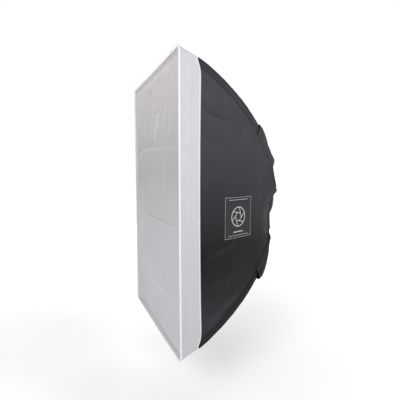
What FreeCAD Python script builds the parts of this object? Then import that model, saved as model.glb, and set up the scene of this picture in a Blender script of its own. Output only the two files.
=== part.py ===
import FreeCAD, Part
import math
import os

import Sketcher
from FreeCAD import Placement, Rotation, Vector

# Rectangular softbox, 600 x 900 mm face, on a rotating speed ring with a three-lug bayonet.
# Frame: origin at the centre of the bayonet's seating plane, +Y out of the back towards the
# lamp head, +Z up along the long side of the face, +X to the right seen from the front.
# Millimetres.  The face plane (the lip) lies at y = -depth.

doc = FreeCAD.newDocument("softbox")

# ------------------------------------------------------------------ driving dimensions
SIZES = [
    ("face_half_w", 296.5, "lip centre line, half width"),
    ("face_half_h", 446.5, "lip centre line, half height"),
    ("depth", 453.0, "lip plane to bayonet seating plane"),
    ("hub_off", 55.0, "rib plane offset at the hub, in X and in Z"),
    ("shell_arc", 1021.3, "radius of the shell's ridge arc, in the rib plane"),
    ("shell_arc_y", -420.5, "ridge arc centre, behind the lip"),
    ("shell_arc_q", -471.1, "ridge arc centre, outward from the hub offset"),
    ("shell_thk", 1.2, "shell fabric"),
    ("shell_back", 108.0, "distance from the hub offset at which the shell ends"),
    ("band_len", 64.0, "white front band, along the axis"),
    ("band_thk", 1.0, "front band fabric"),
    ("edge_rad", 3.5, "edge piping radius"),
    ("edge_corner", 14.0, "edge piping corner radius"),
    ("diff_corner", 36.0, "front diffuser corner radius"),
    ("rod_rad", 2.5, "tension rod radius"),
    ("rod_tip_y", 16.0, "rod tip, behind the lip plane"),
    ("rod_tip_q", 435.0, "rod tip, outward from the hub offset"),
    ("rod_inset", 9.0, "rod below the ridge at mid length"),
    ("rod_root_y", 427.5, "rod at the socket, behind the lip plane"),
    ("rod_tail", 6.0, "rod past the hub offset, inside its socket"),
    ("bore_rad", 49.0, "clear bore through the hub"),
    ("seat_rad", 72.0, "bayonet plate outer radius"),
    ("plate_thk", 3.0, "bayonet plate thickness"),
    ("sleeve_rad", 62.4, "rotation ring sleeve"),
    ("flange_rad", 66.9, "rotation ring flange"),
    ("ring_rad", 76.0, "speed ring outer radius"),
    ("pocket_rad", 67.0, "speed ring pocket round the flange"),
    ("shoulder_rad", 62.5, "speed ring shoulder bore"),
    ("socket_in", 58.0, "socket ring bore"),
    ("ring_split", 17.0, "joint plane of the two castings, ahead of the seat"),
    ("ring_front", 31.0, "socket ring front face, ahead of the seat"),
    ("lug_in", 52.0, "lug inner radius"),
    ("lug_mid", 55.0, "lug stem outer radius"),
    ("lug_out", 59.5, "lug hook outer radius"),
    ("lug_top", 9.0, "lug height over the seat"),
    ("lug_ang", 18.0, "lug width, degrees"),
    ("lock_ang", 22.0, "lock screw direction above +X, degrees"),
    ("lock_y", 11.8, "lock screw axis, ahead of the seat"),
    ("stud_rad", 2.95, "lock screw"),
    ("knob_rad", 12.5, "lock knob"),
    ("knob_thk", 13.0, "lock knob thickness"),
    ("knob_at", 87.0, "lock knob inner face, from the axis"),
    ("tube_rad", 5.0, "rod socket tube, outside"),
    ("tube_in", 3.6, "rod socket tube, inside"),
    ("diff_y", 8.0, "front diffuser behind the lip plane"),
    ("diff_half_w", 290.5, "front diffuser half width"),
    ("diff_half_h", 438.8, "front diffuser half height"),
    ("cloth_thk", 1.0, "diffuser cloth"),
    ("baffle_y", 170.0, "inner baffle behind the lip plane"),
    ("baffle_half_w", 205.0, "inner baffle half width"),
    ("baffle_half_h", 322.0, "inner baffle half height"),
    ("flap_lo", 112.0, "corner flap, near end"),
    ("flap_hi", 238.0, "corner flap, far end"),
    ("flap_wide", 58.0, "corner flap width"),
]
sheet = doc.addObject("Spreadsheet::Sheet", "Sizes")
sheet.set("A1", "alias")
sheet.set("B1", "value")
sheet.set("C1", "what it is")
for i, (alias, value, note) in enumerate(SIZES):
    row = i + 2
    sheet.set("A%d" % row, alias)
    sheet.set("B%d" % row, repr(value))
    sheet.set("C%d" % row, note)
    sheet.setAlias("B%d" % row, alias)
doc.recompute()


def S(alias):
    return float(sheet.get(alias))


def E(text):
    """Expression text: every alias becomes Sizes.alias."""
    out, word = "", ""
    names = {a for a, _, _ in SIZES}
    for c in text + " ":
        if c.isalnum() or c == "_":
            word += c
        else:
            out += ("Sizes." + word) if word in names else word
            word = ""
            out += c
    return out.strip()


def num(text):
    """Value of a size expression."""
    t = E(text).replace("Sizes.", "S_")
    words = {"S_" + a: S(a) for a, _, _ in SIZES}
    for k in sorted(words, key=len, reverse=True):
        t = t.replace(k, "(%r)" % words[k])
    return _calc(t)


def _calc(t):
    """Adds, subtracts, multiplies and divides plain numbers and brackets."""
    pos = [0]
    t = t.replace(" ", "")

    def atom():
        if t[pos[0]] == "-":
            pos[0] += 1
            return -atom()
        if t[pos[0]] == "(":
            pos[0] += 1
            v = add()
            pos[0] += 1
            return v
        k = pos[0]
        while pos[0] < len(t) and (t[pos[0]].isdigit() or t[pos[0]] == "."):
            pos[0] += 1
        return float(t[k : pos[0]])

    def mul():
        v = atom()
        while pos[0] < len(t) and t[pos[0]] in "*/":
            op = t[pos[0]]
            pos[0] += 1
            w = atom()
            v = v * w if op == "*" else v / w
        return v

    def add():
        v = mul()
        while pos[0] < len(t) and t[pos[0]] in "+-":
            op = t[pos[0]]
            pos[0] += 1
            w = mul()
            v = v + w if op == "+" else v - w
        return v

    return add()


NODES = []


def node(obj, label):
    obj.Label = label
    NODES.append(obj)
    return obj


# ------------------------------------------------------------------ rib plane geometry
HUB = S("hub_off")
DW, DH = S("face_half_w") - HUB, S("face_half_h") - HUB
LEN = math.hypot(DW, DH)
UX, UZ = DW / LEN, DH / LEN
DEPTH = S("depth")


def ridge_y(q, inset=0.0):
    """Distance behind the lip of the shell's ridge arc, q outward from the hub offset."""
    r = S("shell_arc") - inset
    return S("shell_arc_y") + math.sqrt(r * r - (q - S("shell_arc_q")) ** 2)


def ridge_q(y, inset=0.0):
    r = S("shell_arc") - inset
    return S("shell_arc_q") + math.sqrt(r * r - (y - S("shell_arc_y")) ** 2)


def rib_xz(q):
    return HUB + UX * q, HUB + UZ * q


# rod: circle through its tip, a point under the middle of the ridge, and its root
def circle3(a, b, c):
    (x1, y1), (x2, y2), (x3, y3) = a, b, c
    d = 2 * (x1 * (y2 - y3) + x2 * (y3 - y1) + x3 * (y1 - y2))
    ux = ((x1**2 + y1**2) * (y2 - y3) + (x2**2 + y2**2) * (y3 - y1) + (x3**2 + y3**2) * (y1 - y2)) / d
    uy = ((x1**2 + y1**2) * (x3 - x2) + (x2**2 + y2**2) * (x1 - x3) + (x3**2 + y3**2) * (x2 - x1)) / d
    return ux, uy, math.hypot(x1 - ux, y1 - uy)


q_mid = 300.0
y_mid = ridge_y(q_mid)
ny, nq = y_mid - S("shell_arc_y"), q_mid - S("shell_arc_q")
nl = math.hypot(ny, nq)
ROD_Y, ROD_Q, ROD_R = circle3(
    (S("rod_tip_y"), S("rod_tip_q")),
    (y_mid - S("rod_inset") * ny / nl, q_mid - S("rod_inset") * nq / nl),
    (S("rod_root_y"), 0.0),
)
ang_tip = math.atan2(S("rod_tip_q") - ROD_Q, S("rod_tip_y") - ROD_Y)
ang_root = math.atan2(-S("rod_tail") * 0.9 - ROD_Q, math.sqrt(ROD_R**2 - (S("rod_tail") * 0.9 + ROD_Q) ** 2))
ROD_SWEEP = math.degrees(ang_tip - ang_root)
print("rod: arc radius %.1f, length %.1f" % (ROD_R, ROD_R * math.radians(ROD_SWEEP)))

CORNERS = [("upper_right", 1, 1), ("upper_left", -1, 1), ("lower_left", -1, -1), ("lower_right", 1, -1)]


def rod_place(sx, sz):
    """Local X from the arc centre to the rod's root, sweep towards the tip about local Z."""
    d = Vector(sx * UX, 0, sz * UZ)
    yv = Vector(0, 1, 0)
    start = yv * math.cos(ang_root) + d * math.sin(ang_root)
    turn = d * math.cos(ang_root) - yv * math.sin(ang_root)
    centre = Vector(sx * HUB, ROD_Y - DEPTH, sz * HUB) + d * ROD_Q
    rot = Rotation(start, turn, start.cross(turn), "XYZ")
    return Placement(centre, rot)


def rod_point(sx, sz, a):
    """Point and direction (root to tip) on the rod axis at the arc angle a, in radians."""
    d = Vector(sx * UX, 0, sz * UZ)
    yv = Vector(0, 1, 0)
    centre = Vector(sx * HUB, ROD_Y - DEPTH, sz * HUB) + d * ROD_Q
    p = centre + yv * (ROD_R * math.cos(a)) + d * (ROD_R * math.sin(a))
    t = d * math.cos(a) - yv * math.sin(a)
    return p, t


# ------------------------------------------------------------------ small builders
def look(axis):
    return Rotation(Vector(0, 0, 1), axis)


def bind(obj, **props):
    for name, value in props.items():
        if isinstance(value, str):
            obj.setExpression(name, E(value))
            setattr(obj, name, num(value))
        else:
            setattr(obj, name, value)


def cyl(name, rad, height, base, axis, angle=None):
    o = doc.addObject("Part::Cylinder", name)
    bind(o, Radius=rad, Height=height)
    if angle is not None:
        bind(o, Angle=angle)
    o.Placement = Placement(base, look(axis))
    return o


def cone(name, r1, r2, height, base, axis):
    o = doc.addObject("Part::Cone", name)
    bind(o, Radius1=r1, Radius2=r2, Height=height)
    o.Placement = Placement(base, look(axis))
    return o


def box(name, lx, ly, lz, corner):
    o = doc.addObject("Part::Box", name)
    bind(o, Length=lx, Width=ly, Height=lz)
    o.Placement = Placement(corner, Rotation())
    return o


def fuse(name, objs):
    o = doc.addObject("Part::MultiFuse", name)
    o.Shapes = objs
    return o


def cut(name, base, tools):
    o = doc.addObject("Part::Cut", name)
    o.Base = base
    o.Tool = tools[0] if len(tools) == 1 else fuse(name + "_tools", tools)
    return o


def common(name, a, b):
    o = doc.addObject("Part::Common", name)
    o.Base, o.Tool = a, b
    return o


def group(name, objs):
    o = doc.addObject("Part::Compound", name)
    o.Links = objs
    return o


def feature(name, shape):
    o = doc.addObject("Part::Feature", name)
    o.Shape = shape
    return o


def origin_of(body, role):
    for f in body.Origin.OriginFeatures:
        if f.Role == role:
            return f
    raise RuntimeError(role)


def poly_sketch(body, name, plane, pts):
    """Closed polygon whose corners are held by size expressions (x text, y text)."""
    sk = body.newObject("Sketcher::SketchObject", name)
    sk.AttachmentSupport = [(origin_of(body, plane), "")]
    sk.MapMode = "FlatFace"
    vals = [(num(a), num(b)) for a, b in pts]
    n = len(pts)
    for i in range(n):
        (x1, y1), (x2, y2) = vals[i], vals[(i + 1) % n]
        sk.addGeometry(Part.LineSegment(Vector(x1, y1, 0), Vector(x2, y2, 0)), False)
    for i in range(n):
        sk.addConstraint(Sketcher.Constraint("Coincident", i, 2, (i + 1) % n, 1))
    for i, (a, b) in enumerate(pts):
        for kind, text, v, axis in (("DistanceX", a, vals[i][0], -2), ("DistanceY", b, vals[i][1], -1)):
            if abs(v) < 1e-9:
                sk.addConstraint(Sketcher.Constraint("PointOnObject", i, 1, axis))
                continue
            c = sk.addConstraint(Sketcher.Constraint(kind, -1, 1, i, 1, v))
            cname = "%s_%d" % (kind[-1].lower() + "c", i)
            sk.renameConstraint(c, cname)
            sk.setExpression("Constraints." + cname, E(text))
    return sk


def circle_sketch(body, name, plane, circles, offset=None):
    """Circles (x text, y text, r text)."""
    sk = body.newObject("Sketcher::SketchObject", name)
    sk.AttachmentSupport = [(origin_of(body, plane), "")]
    sk.MapMode = "FlatFace"
    if offset is not None:
        sk.AttachmentOffset = Placement(offset, Rotation())
    for i, (a, b, r) in enumerate(circles):
        x, y, rad = num(a), num(b), num(r)
        g = sk.addGeometry(Part.Circle(Vector(x, y, 0), Vector(0, 0, 1), rad), False)
        c = sk.addConstraint(Sketcher.Constraint("Radius", g, rad))
        sk.renameConstraint(c, "rad_%d" % i)
        sk.setExpression("Constraints.rad_%d" % i, E(r))
        if abs(x) < 1e-9:
            sk.addConstraint(Sketcher.Constraint("PointOnObject", g, 3, -2))
        else:
            c = sk.addConstraint(Sketcher.Constraint("DistanceX", -1, 1, g, 3, x))
            sk.renameConstraint(c, "cx_%d" % i)
            sk.setExpression("Constraints.cx_%d" % i, E(a))
        if abs(y) < 1e-9:
            sk.addConstraint(Sketcher.Constraint("PointOnObject", g, 3, -1))
        else:
            c = sk.addConstraint(Sketcher.Constraint("DistanceY", -1, 1, g, 3, y))
            sk.renameConstraint(c, "cy_%d" % i)
            sk.setExpression("Constraints.cy_%d" % i, E(b))
    return sk


def turned(name, pts):
    """A PartDesign body turned about Y from an (radius, y) polygon."""
    body = doc.addObject("PartDesign::Body", name)
    sk = poly_sketch(body, name + "_profile", "XY_Plane", pts)
    rev = body.newObject("PartDesign::Revolution", name + "_turn")
    rev.Profile = sk
    rev.ReferenceAxis = (sk, ["V_Axis"])
    rev.Angle = 360.0
    sk.Visibility = False
    doc.recompute()
    return body


def padded(name, plane, pts, length):
    """A PartDesign body padded from a polygon, half to each side of its plane."""
    body = doc.addObject("PartDesign::Body", name)
    sk = poly_sketch(body, name + "_profile", plane, pts)
    pad = body.newObject("PartDesign::Pad", name + "_pad")
    pad.Profile = sk
    pad.Midplane = True
    pad.setExpression("Length", E(length))
    pad.Length = num(length)
    doc.recompute()
    return body


Y = Vector(0, 1, 0)


def radial(deg):
    a = math.radians(deg)
    return Vector(math.cos(a), 0, math.sin(a))


# ------------------------------------------------------------------ fabric sheets
def offset_curve(side, q0, q1, off, n=11):
    """Points (across, y) of the shell's profile seen along the panel, moved out by off.
    side is 'x' for the left and right panels, 'z' for the top and bottom ones."""
    u = UX if side == "x" else UZ
    out = []
    for i in range(n):
        q = q0 + (q1 - q0) * i / (n - 1)
        y = ridge_y(q)
        ty, tq = (q - S("shell_arc_q")), -(y - S("shell_arc_y"))
        ta, tyy = -tq * u, -ty
        # tangent for q growing: across grows, y falls
        l = math.hypot(ta, tyy)
        na, nyy = -tyy / l, ta / l
        out.append((HUB + u * q + na * off, y - DEPTH + nyy * off))
    return out


def spline(points):
    c = Part.BSplineCurve()
    c.interpolate(points)
    return c.toShape()


def panel_strip(side, sgn, q0, q1, lo, hi, halfspan, trim):
    """Sheet between offsets lo and hi of a panel's surface, from q0 to q1 along the ridge.
    trim is a solid that it's cut to."""
    a = offset_curve(side, q0, q1, lo)
    b = offset_curve(side, q0, q1, hi)

    def v(p):
        return Vector(sgn * p[0], p[1], -halfspan) if side == "x" else Vector(-halfspan, p[1], sgn * p[0])

    pa, pb = [v(p) for p in a], [v(p) for p in b]
    wire = Part.Wire([spline(pa), Part.makeLine(pa[-1], pb[-1]), spline(list(reversed(pb))), Part.makeLine(pb[0], pa[0])])
    face = Part.Face(wire)
    along = Vector(0, 0, 2 * halfspan) if side == "x" else Vector(2 * halfspan, 0, 0)
    solid = face.extrude(along)
    return solid.common(trim) if trim is not None else solid


def prism_xz(pts):
    w = Part.makePolygon([Vector(x, -DEPTH - 60, z) for x, z in pts + [pts[0]]])
    return Part.Face(w).extrude(Vector(0, DEPTH + 160, 0))


def mitre(side, sgn):
    """Wedge between the two rib planes on one side."""
    lo, hi = -40.0, 520.0
    (xa, za), (xb, zb) = rib_xz(lo), rib_xz(hi)
    if side == "x":
        return prism_xz([(sgn * xa, -za), (sgn * xb, -zb), (sgn * xb, zb), (sgn * xa, za)])
    return prism_xz([(-xa, sgn * za), (-xb, sgn * zb), (xb, sgn * zb), (xa, sgn * za)])


SIDES = [("right", "x", 1), ("left", "x", -1), ("top", "z", 1), ("bottom", "z", -1)]
q_front = ridge_q(4.5)
q_band = ridge_q(S("band_len"))

# black outer shell with a silver inside: four panels that meet on the ridges
for name, side, sgn in SIDES:
    s = panel_strip(side, sgn, S("shell_back"), q_front, -S("shell_thk"), 0.0, 560, mitre(side, sgn))
    node(feature("shell_" + name, s), "shell_panel_" + name)

# white band sewn round the outside of the lip
band = [panel_strip(side, sgn, q_band, q_front, 0.1, 0.1 + S("band_thk"), 560, mitre(side, sgn)) for _, side, sgn in SIDES]
node(feature("band", Part.makeCompound(band)), "front_band")

# stitched binding along the band's back edge
bind_strips = [panel_strip(side, sgn, q_band - 0.5, q_band + 4.5, 1.2, 2.0, 560, mitre(side, sgn)) for _, side, sgn in SIDES]
node(feature("band_binding_strips", Part.makeCompound(bind_strips)), "band_binding")

# loop strip inside the lip, that the front diffuser sticks to
q_l0, q_l1 = ridge_q(37.0), ridge_q(12.0)
SPAN = {"x": 385.0, "z": 242.0}
loops = [panel_strip(side, sgn, q_l0, q_l1, -S("shell_thk") - 1.1, -S("shell_thk") - 0.1, SPAN[side], None) for _, side, sgn in SIDES]
node(feature("lip_loop_strips", Part.makeCompound(loops)), "lip_loop_tape")

# piping round the lip: a cord sewn into the edge
edge = []
fw, fh, er = S("face_half_w"), S("face_half_h"), S("edge_rad")
er_c = S("edge_corner")
for k, sz in enumerate((1, -1)):
    edge.append(cyl("edge_h%d" % k, "edge_rad", "2 * face_half_w - 2 * edge_corner", Vector(-fw + er_c, -DEPTH, sz * fh), Vector(1, 0, 0)))
for k, sx in enumerate((1, -1)):
    edge.append(cyl("edge_v%d" % k, "edge_rad", "2 * face_half_h - 2 * edge_corner", Vector(sx * fw, -DEPTH, -fh + er_c), Vector(0, 0, 1)))
for k, (_, sx, sz) in enumerate(CORNERS):
    t = doc.addObject("Part::Torus", "edge_c%d" % k)
    bind(t, Radius1="edge_corner", Radius2="edge_rad")
    t.Angle3 = 90
    first = Vector(sx, 0, 0) if sx * sz < 0 else Vector(0, 0, sz)
    second = Vector(0, 0, sz) if sx * sz < 0 else Vector(sx, 0, 0)
    t.Placement = Placement(Vector(sx * (fw - er_c), -DEPTH, sz * (fh - er_c)), Rotation(first, second, first.cross(second), "XYZ"))
    edge.append(t)
node(fuse("edge_piping", edge), "edge_piping")

# front diffuser: cloth panel with a hooked border that lies inside the lip
d = padded("diffuser_cloth", "XZ_Plane", [("-diff_half_w", "-diff_half_h"), ("diff_half_w", "-diff_half_h"), ("diff_half_w", "diff_half_h"), ("-diff_half_w", "diff_half_h")], "cloth_thk")
corner_edges = []
for i, e in enumerate(d.Tip.Shape.Edges):
    v0, v1 = e.Vertexes[0].Point, e.Vertexes[-1].Point
    if abs(v0.x - v1.x) < 1e-6 and abs(v0.z - v1.z) < 1e-6 and abs(v0.y - v1.y) > 0.1:
        corner_edges.append("Edge%d" % (i + 1))
if len(corner_edges) != 4:
    raise RuntimeError("diffuser corners: %r" % (corner_edges,))
rc = d.newObject("PartDesign::Fillet", "diffuser_corners")
rc.Base = (doc.getObject("diffuser_cloth_pad"), corner_edges)
rc.setExpression("Radius", E("diff_corner"))
rc.Radius = S("diff_corner")
doc.recompute()
d.Placement = Placement(Vector(0, -DEPTH + S("diff_y") + 0.5, 0), Rotation())
node(d, "front_diffuser")
q_h0, q_h1 = ridge_q(36.0), ridge_q(11.6)
hooks = [panel_strip(side, sgn, q_h0, q_h1, -S("shell_thk") - 2.6, -S("shell_thk") - 1.5, SPAN[side] - 2, None) for _, side, sgn in SIDES]
node(feature("diffuser_hooks", Part.makeCompound(hooks)), "diffuser_hook_border")

# ------------------------------------------------------------------ inner baffle
b = padded("baffle_cloth", "XZ_Plane", [("-baffle_half_w", "-baffle_half_h"), ("baffle_half_w", "-baffle_half_h"), ("baffle_half_w", "baffle_half_h"), ("-baffle_half_w", "baffle_half_h")], "cloth_thk")
by = -DEPTH + S("baffle_y")
b.Placement = Placement(Vector(0, by, 0), Rotation())
node(b, "inner_baffle")
bw, bh = S("baffle_half_w"), S("baffle_half_h")
tape = [
    box("baffle_tape_t", "2 * baffle_half_w", 1.2, 20, Vector(-bw, by - 1.8, bh - 20)),
    box("baffle_tape_b", "2 * baffle_half_w", 1.2, 20, Vector(-bw, by - 1.8, -bh)),
    box("baffle_tape_r", 20, 1.2, "2 * baffle_half_h - 40.2", Vector(bw - 20, by - 1.8, -bh + 20.1)),
    box("baffle_tape_l", 20, 1.2, "2 * baffle_half_h - 40.2", Vector(-bw, by - 1.8, -bh + 20.1)),
]
node(group("baffle_tape", tape), "baffle_border_tape")
q_b = ridge_q(S("baffle_y"))
xb = HUB + UX * q_b - 1.8
zb = HUB + UZ * q_b - 1.8
tabs, snaps = [], []
k = 0
for sx in (1, -1):
    for z in (-200.0, 0.0, 200.0):
        x0 = min(sx * (bw - 18), sx * (xb - 6.5))
        tabs.append(box("tab_%d" % k, xb - 6.5 - (bw - 18), 1.2, 20, Vector(x0, by + 0.6, z - 10)))
        snaps.append(cyl("snap_%d" % k, 6.0, 3.6, Vector(sx * (xb - 6.2), by + 1.2, z), Vector(sx, 0, 0)))
        k += 1
for sz in (1, -1):
    for x in (-110.0, 110.0):
        z0 = min(sz * (bh - 18), sz * (zb - 9.5))
        tabs.append(box("tab_%d" % k, 20, 1.2, zb - 9.5 - (bh - 18), Vector(x - 10, by + 0.6, z0)))
        snaps.append(cyl("snap_%d" % k, 6.0, 3.6, Vector(x, by + 1.2, sz * (zb - 9.2)), Vector(0, 0, sz)))
        k += 1
node(group("baffle_tabs_group", tabs), "baffle_elastic_tabs")
node(group("baffle_snaps_group", snaps), "baffle_snap_buttons")

# ------------------------------------------------------------------ tension rods
for cname, sx, sz in CORNERS:
    t = doc.addObject("Part::Torus", "rod_" + cname)
    t.Radius1 = ROD_R
    bind(t, Radius2="rod_rad")
    t.Angle3 = ROD_SWEEP
    t.Placement = rod_place(sx, sz)
    node(t, "rod_" + cname)


def torus_piece(r1, r2, a0, a1, sx, sz):
    """Piece of a round bar that follows the rod's arc, between two arc lengths from the root."""
    s0, s1 = math.degrees(a0 / ROD_R), math.degrees(a1 / ROD_R)
    outer = Part.makeTorus(ROD_R, r1, Vector(), Vector(0, 0, 1), -180, 180, s1 - s0)
    outer.rotate(Vector(), Vector(0, 0, 1), s0)
    if r2 > 0:
        inner = Part.makeTorus(ROD_R, r2, Vector(), Vector(0, 0, 1), -180, 180, s1 - s0 + 0.4)
        inner.rotate(Vector(), Vector(0, 0, 1), s0 - 0.2)
        outer = outer.cut(inner)
    outer.Placement = rod_place(sx, sz).multiply(outer.Placement)
    return outer


rod_len = ROD_R * math.radians(ROD_SWEEP)
# ferrules on the rods' socket ends
node(feature("ferrules", Part.makeCompound([torus_piece(3.1, S("rod_rad") + 0.03, 0.0, 26.0, sx, sz) for _, sx, sz in CORNERS])), "rod_end_ferrules")

# domed caps on the rods' tips, and the webbing pockets that hold them in the corners
caps, pockets = [], []
for _, sx, sz in CORNERS:
    p, t = rod_point(sx, sz, ang_tip)
    sleeve = torus_piece(3.9, S("rod_rad") + 0.03, rod_len - 16, rod_len, sx, sz)
    dome = Part.makeSphere(3.9, p, t, 0.0, 90.0, 360.0)
    dome = Part.makeSphere(3.9, p).cut(Part.makeCylinder(5, 10, p + t * 0.02, t * -1))
    caps.append(sleeve.fuse(dome).removeSplitter())
    o = torus_piece(5.9, 0.0, rod_len - 32, rod_len, sx, sz).fuse(Part.makeSphere(5.9, p).cut(Part.makeCylinder(8, 12, p - t * 0.02, t * -1)))
    i = torus_piece(4.4, 0.0, rod_len - 33, rod_len, sx, sz).fuse(Part.makeSphere(4.4, p))
    pockets.append(o.cut(i))
node(feature("caps", Part.makeCompound(caps)), "rod_tip_caps")
node(feature("pockets", Part.makeCompound(pockets)), "corner_tip_pockets")

# ------------------------------------------------------------------ bayonet and rotation ring (held by the lamp)
plate = turned("plate_turned", [("bore_rad", "-plate_thk"), ("seat_rad", "-plate_thk"), ("seat_rad", "-0.6"), ("seat_rad - 0.6", "0"), ("bore_rad", "0")])
lugs = doc.addObject("PartDesign::Body", "lugs_turned")
lsk = poly_sketch(lugs, "lug_profile", "XY_Plane", [("lug_in", "-1"), ("lug_mid", "-1"), ("lug_mid", "lug_top - 2.6"), ("lug_out", "lug_top - 2.6"), ("lug_out", "lug_top"), ("lug_in", "lug_top")])
lrev = lugs.newObject("PartDesign::Revolution", "lug_turn")
lrev.Profile = lsk
lrev.ReferenceAxis = (lsk, ["V_Axis"])
lrev.Midplane = True
lrev.setExpression("Angle", E("lug_ang"))
lrev.Angle = S("lug_ang")
doc.recompute()
lug_shapes = []
for k in range(3):
    c = doc.addObject("Part::Feature", "lug_%d" % k)
    sh = lugs.Shape.copy()
    sh.rotate(Vector(), Y, 90 + 120 * k)
    c.Shape = sh
    lug_shapes.append(c)
SCREW_R = 56.0
plate_all = fuse("plate_fused", [plate] + lug_shapes)
tools = []
for k in range(3):
    p = radial(30 + 120 * k) * SCREW_R
    tools.append(cyl("plate_hole_%d" % k, 2.15, 6, p + Y * -4, Y))
    tools.append(cone("plate_sink_%d" % k, 2.15, 3.95, 1.8, p + Y * -1.75, Y))
node(cut("bayonet_plate_cut", plate_all, tools), "bayonet_plate")

rr = turned("rotation_turned", [("bore_rad", "-ring_split + 0.4"), ("flange_rad", "-ring_split + 0.4"), ("flange_rad", "-7.2"), ("sleeve_rad", "-7.2"), ("sleeve_rad", "-plate_thk"), ("bore_rad", "-plate_thk")])
tools = [cyl("tap_%d" % k, 2.05, 9.5, radial(30 + 120 * k) * SCREW_R + Y * (-S("plate_thk") - 9.4), Y) for k in range(3)]
node(cut("rotation_ring_cut", rr, tools), "rotation_ring")

screws = []
for k in range(3):
    p = radial(30 + 120 * k) * SCREW_R
    shank = cyl("csk_shank_%d" % k, 2.0, 10.2, p + Y * -11.6, Y)
    head = cone("csk_head_%d" % k, 2.0, 3.75, 1.65, p + Y * -1.75, Y)
    hx = doc.addObject("Part::Prism", "csk_key_%d" % k)
    hx.Polygon, hx.Circumradius, hx.Height = 6, 1.4, 2
    hx.Placement = Placement(p + Y * -1.3, look(Y))
    screws.append(cut("csk_%d" % k, fuse("csk_f%d" % k, [shank, head]), [hx]))
node(group("adapter_screws_group", screws), "adapter_screws")

# ------------------------------------------------------------------ speed ring: back casting with the lock boss
sr = turned("speed_turned", [("shoulder_rad", "-7"), ("shoulder_rad", "-3.3"), ("ring_rad - 2", "-3.3"), ("ring_rad", "-5.3"), ("ring_rad", "-ring_split"), ("pocket_rad", "-ring_split"), ("pocket_rad", "-7")])
e_lock = radial(S("lock_ang"))
lock_p = Y * -S("lock_y")
boss = cyl("lock_boss", "5.1", 13.0, lock_p + e_lock * 71, e_lock)
sr_f = fuse("speed_fused", [sr, boss])
tools = [cyl("lock_tap", 3.05, 40, lock_p + e_lock * 60, e_lock)]
for k in range(4):
    tools.append(cyl("ring_tap_%d" % k, 1.55, 8, radial(90 * k) * 71.5 + Y * (-S("ring_split") - 0.5), Y))
node(cut("speed_ring_cut", sr_f, tools), "speed_ring")

# front casting with the four rod bosses
sk_r = turned("socket_turned", [("socket_in", "-ring_front"), ("ring_rad", "-ring_front"), ("ring_rad", "-ring_split"), ("socket_in", "-ring_split")])
bosses, bores, tubes, clears = [], [], [], []
for k, (cname, sx, sz) in enumerate(CORNERS):
    p, t = rod_point(sx, sz, ang_root)
    bosses.append(cyl("rod_boss_%d" % k, 7.4, 17.0, p - t * 3.5, t))
    bores.append(cyl("rod_bore_%d" % k, 5.02, 60.0, p - t * 1.6, t))
    o = cyl("tube_o%d" % k, "tube_rad", 38.0, p - t * 1.5, t)
    i = cyl("tube_i%d" % k, "tube_in", 60.0, p - t * 0.3, t)
    tubes.append(cut("tube_%d" % k, o, [i]))
clip = cyl("boss_clip", "ring_rad + 30", 20, Y * -S("ring_split"), Y)
clip2 = cyl("boss_clip_in", "socket_in", 60, Y * -60, Y)
sk_f = fuse("socket_fused", [sk_r] + bosses)
tools = [clip, clip2] + bores
for k in range(4):
    tools.append(cyl("ring_clear_%d" % k, 1.7, 16, radial(90 * k) * 71.5 + Y * (-S("ring_front") - 1), Y))
    tools.append(cyl("ring_cbore_%d" % k, 3.1, 4, radial(90 * k) * 71.5 + Y * (-S("ring_front") - 1), Y))
node(cut("socket_ring_cut", sk_f, tools), "socket_ring")
node(group("rod_sockets_group", tubes), "rod_socket_tubes")

screws = []
for k in range(4):
    p = radial(90 * k) * 71.5
    shank = cyl("cap_shank_%d" % k, 1.5, 17.5, p + Y * (-S("ring_front") + 2.9), Y)
    head = cyl("cap_head_%d" % k, 2.9, 2.8, p + Y * (-S("ring_front") + 0.15), Y)
    hx = doc.addObject("Part::Prism", "cap_key_%d" % k)
    hx.Polygon, hx.Circumradius, hx.Height = 6, 1.45, 1.7
    hx.Placement = Placement(p + Y * (-S("ring_front") + 0.05), look(Y))
    screws.append(cut("cap_%d" % k, fuse("cap_f%d" % k, [shank, head]), [hx]))
node(group("ring_screws_group", screws), "ring_screws")

# ------------------------------------------------------------------ lock screw and knob
stud = cyl("stud_shank", "stud_rad", 28.0, lock_p + e_lock * 69.5, e_lock)
tip = cyl("stud_tip", 2.2, 2.6, lock_p + e_lock * 67.1, e_lock)
collar = cyl("stud_collar", 4.6, 1.4, lock_p + e_lock * 85.4, e_lock)
node(fuse("lock_stud_fused", [stud, tip, collar]), "lock_screw")

knob = doc.addObject("PartDesign::Body", "knob_body")
ks = circle_sketch(knob, "knob_disc", "XY_Plane", [("0", "0", "knob_rad")])
kp = knob.newObject("PartDesign::Pad", "knob_pad")
kp.Profile = ks
kp.setExpression("Length", E("knob_thk"))
kp.Length = S("knob_thk")
doc.recompute()
v0 = knob.Shape.Volume
ls = circle_sketch(knob, "knob_scallop", "XY_Plane", [("knob_rad + 2.2", "0", "4.2")])
lp = knob.newObject("PartDesign::Pocket", "knob_scallop_cut")
lp.Profile = ls
lp.Type = 1
lp.Midplane = True
doc.recompute()
pp = knob.newObject("PartDesign::PolarPattern", "knob_scallops")
pp.Originals = [lp]
pp.Axis = (ks, ["N_Axis"])
pp.Angle = 360
pp.Occurrences = 6
knob.Tip = pp
doc.recompute()
v1 = knob.Shape.Volume
hs = circle_sketch(knob, "knob_bore", "XY_Plane", [("0", "0", "stud_rad + 0.08")])
hp = knob.newObject("PartDesign::Pocket", "knob_bore_cut")
hp.Profile = hs
hp.Length = 11.0
hp.Reversed = True
doc.recompute()
v2 = knob.Shape.Volume
if not v2 < v1 < v0:
    raise RuntimeError("knob cuts missed: %r" % ((v0, v1, v2),))
edges = []
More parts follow.
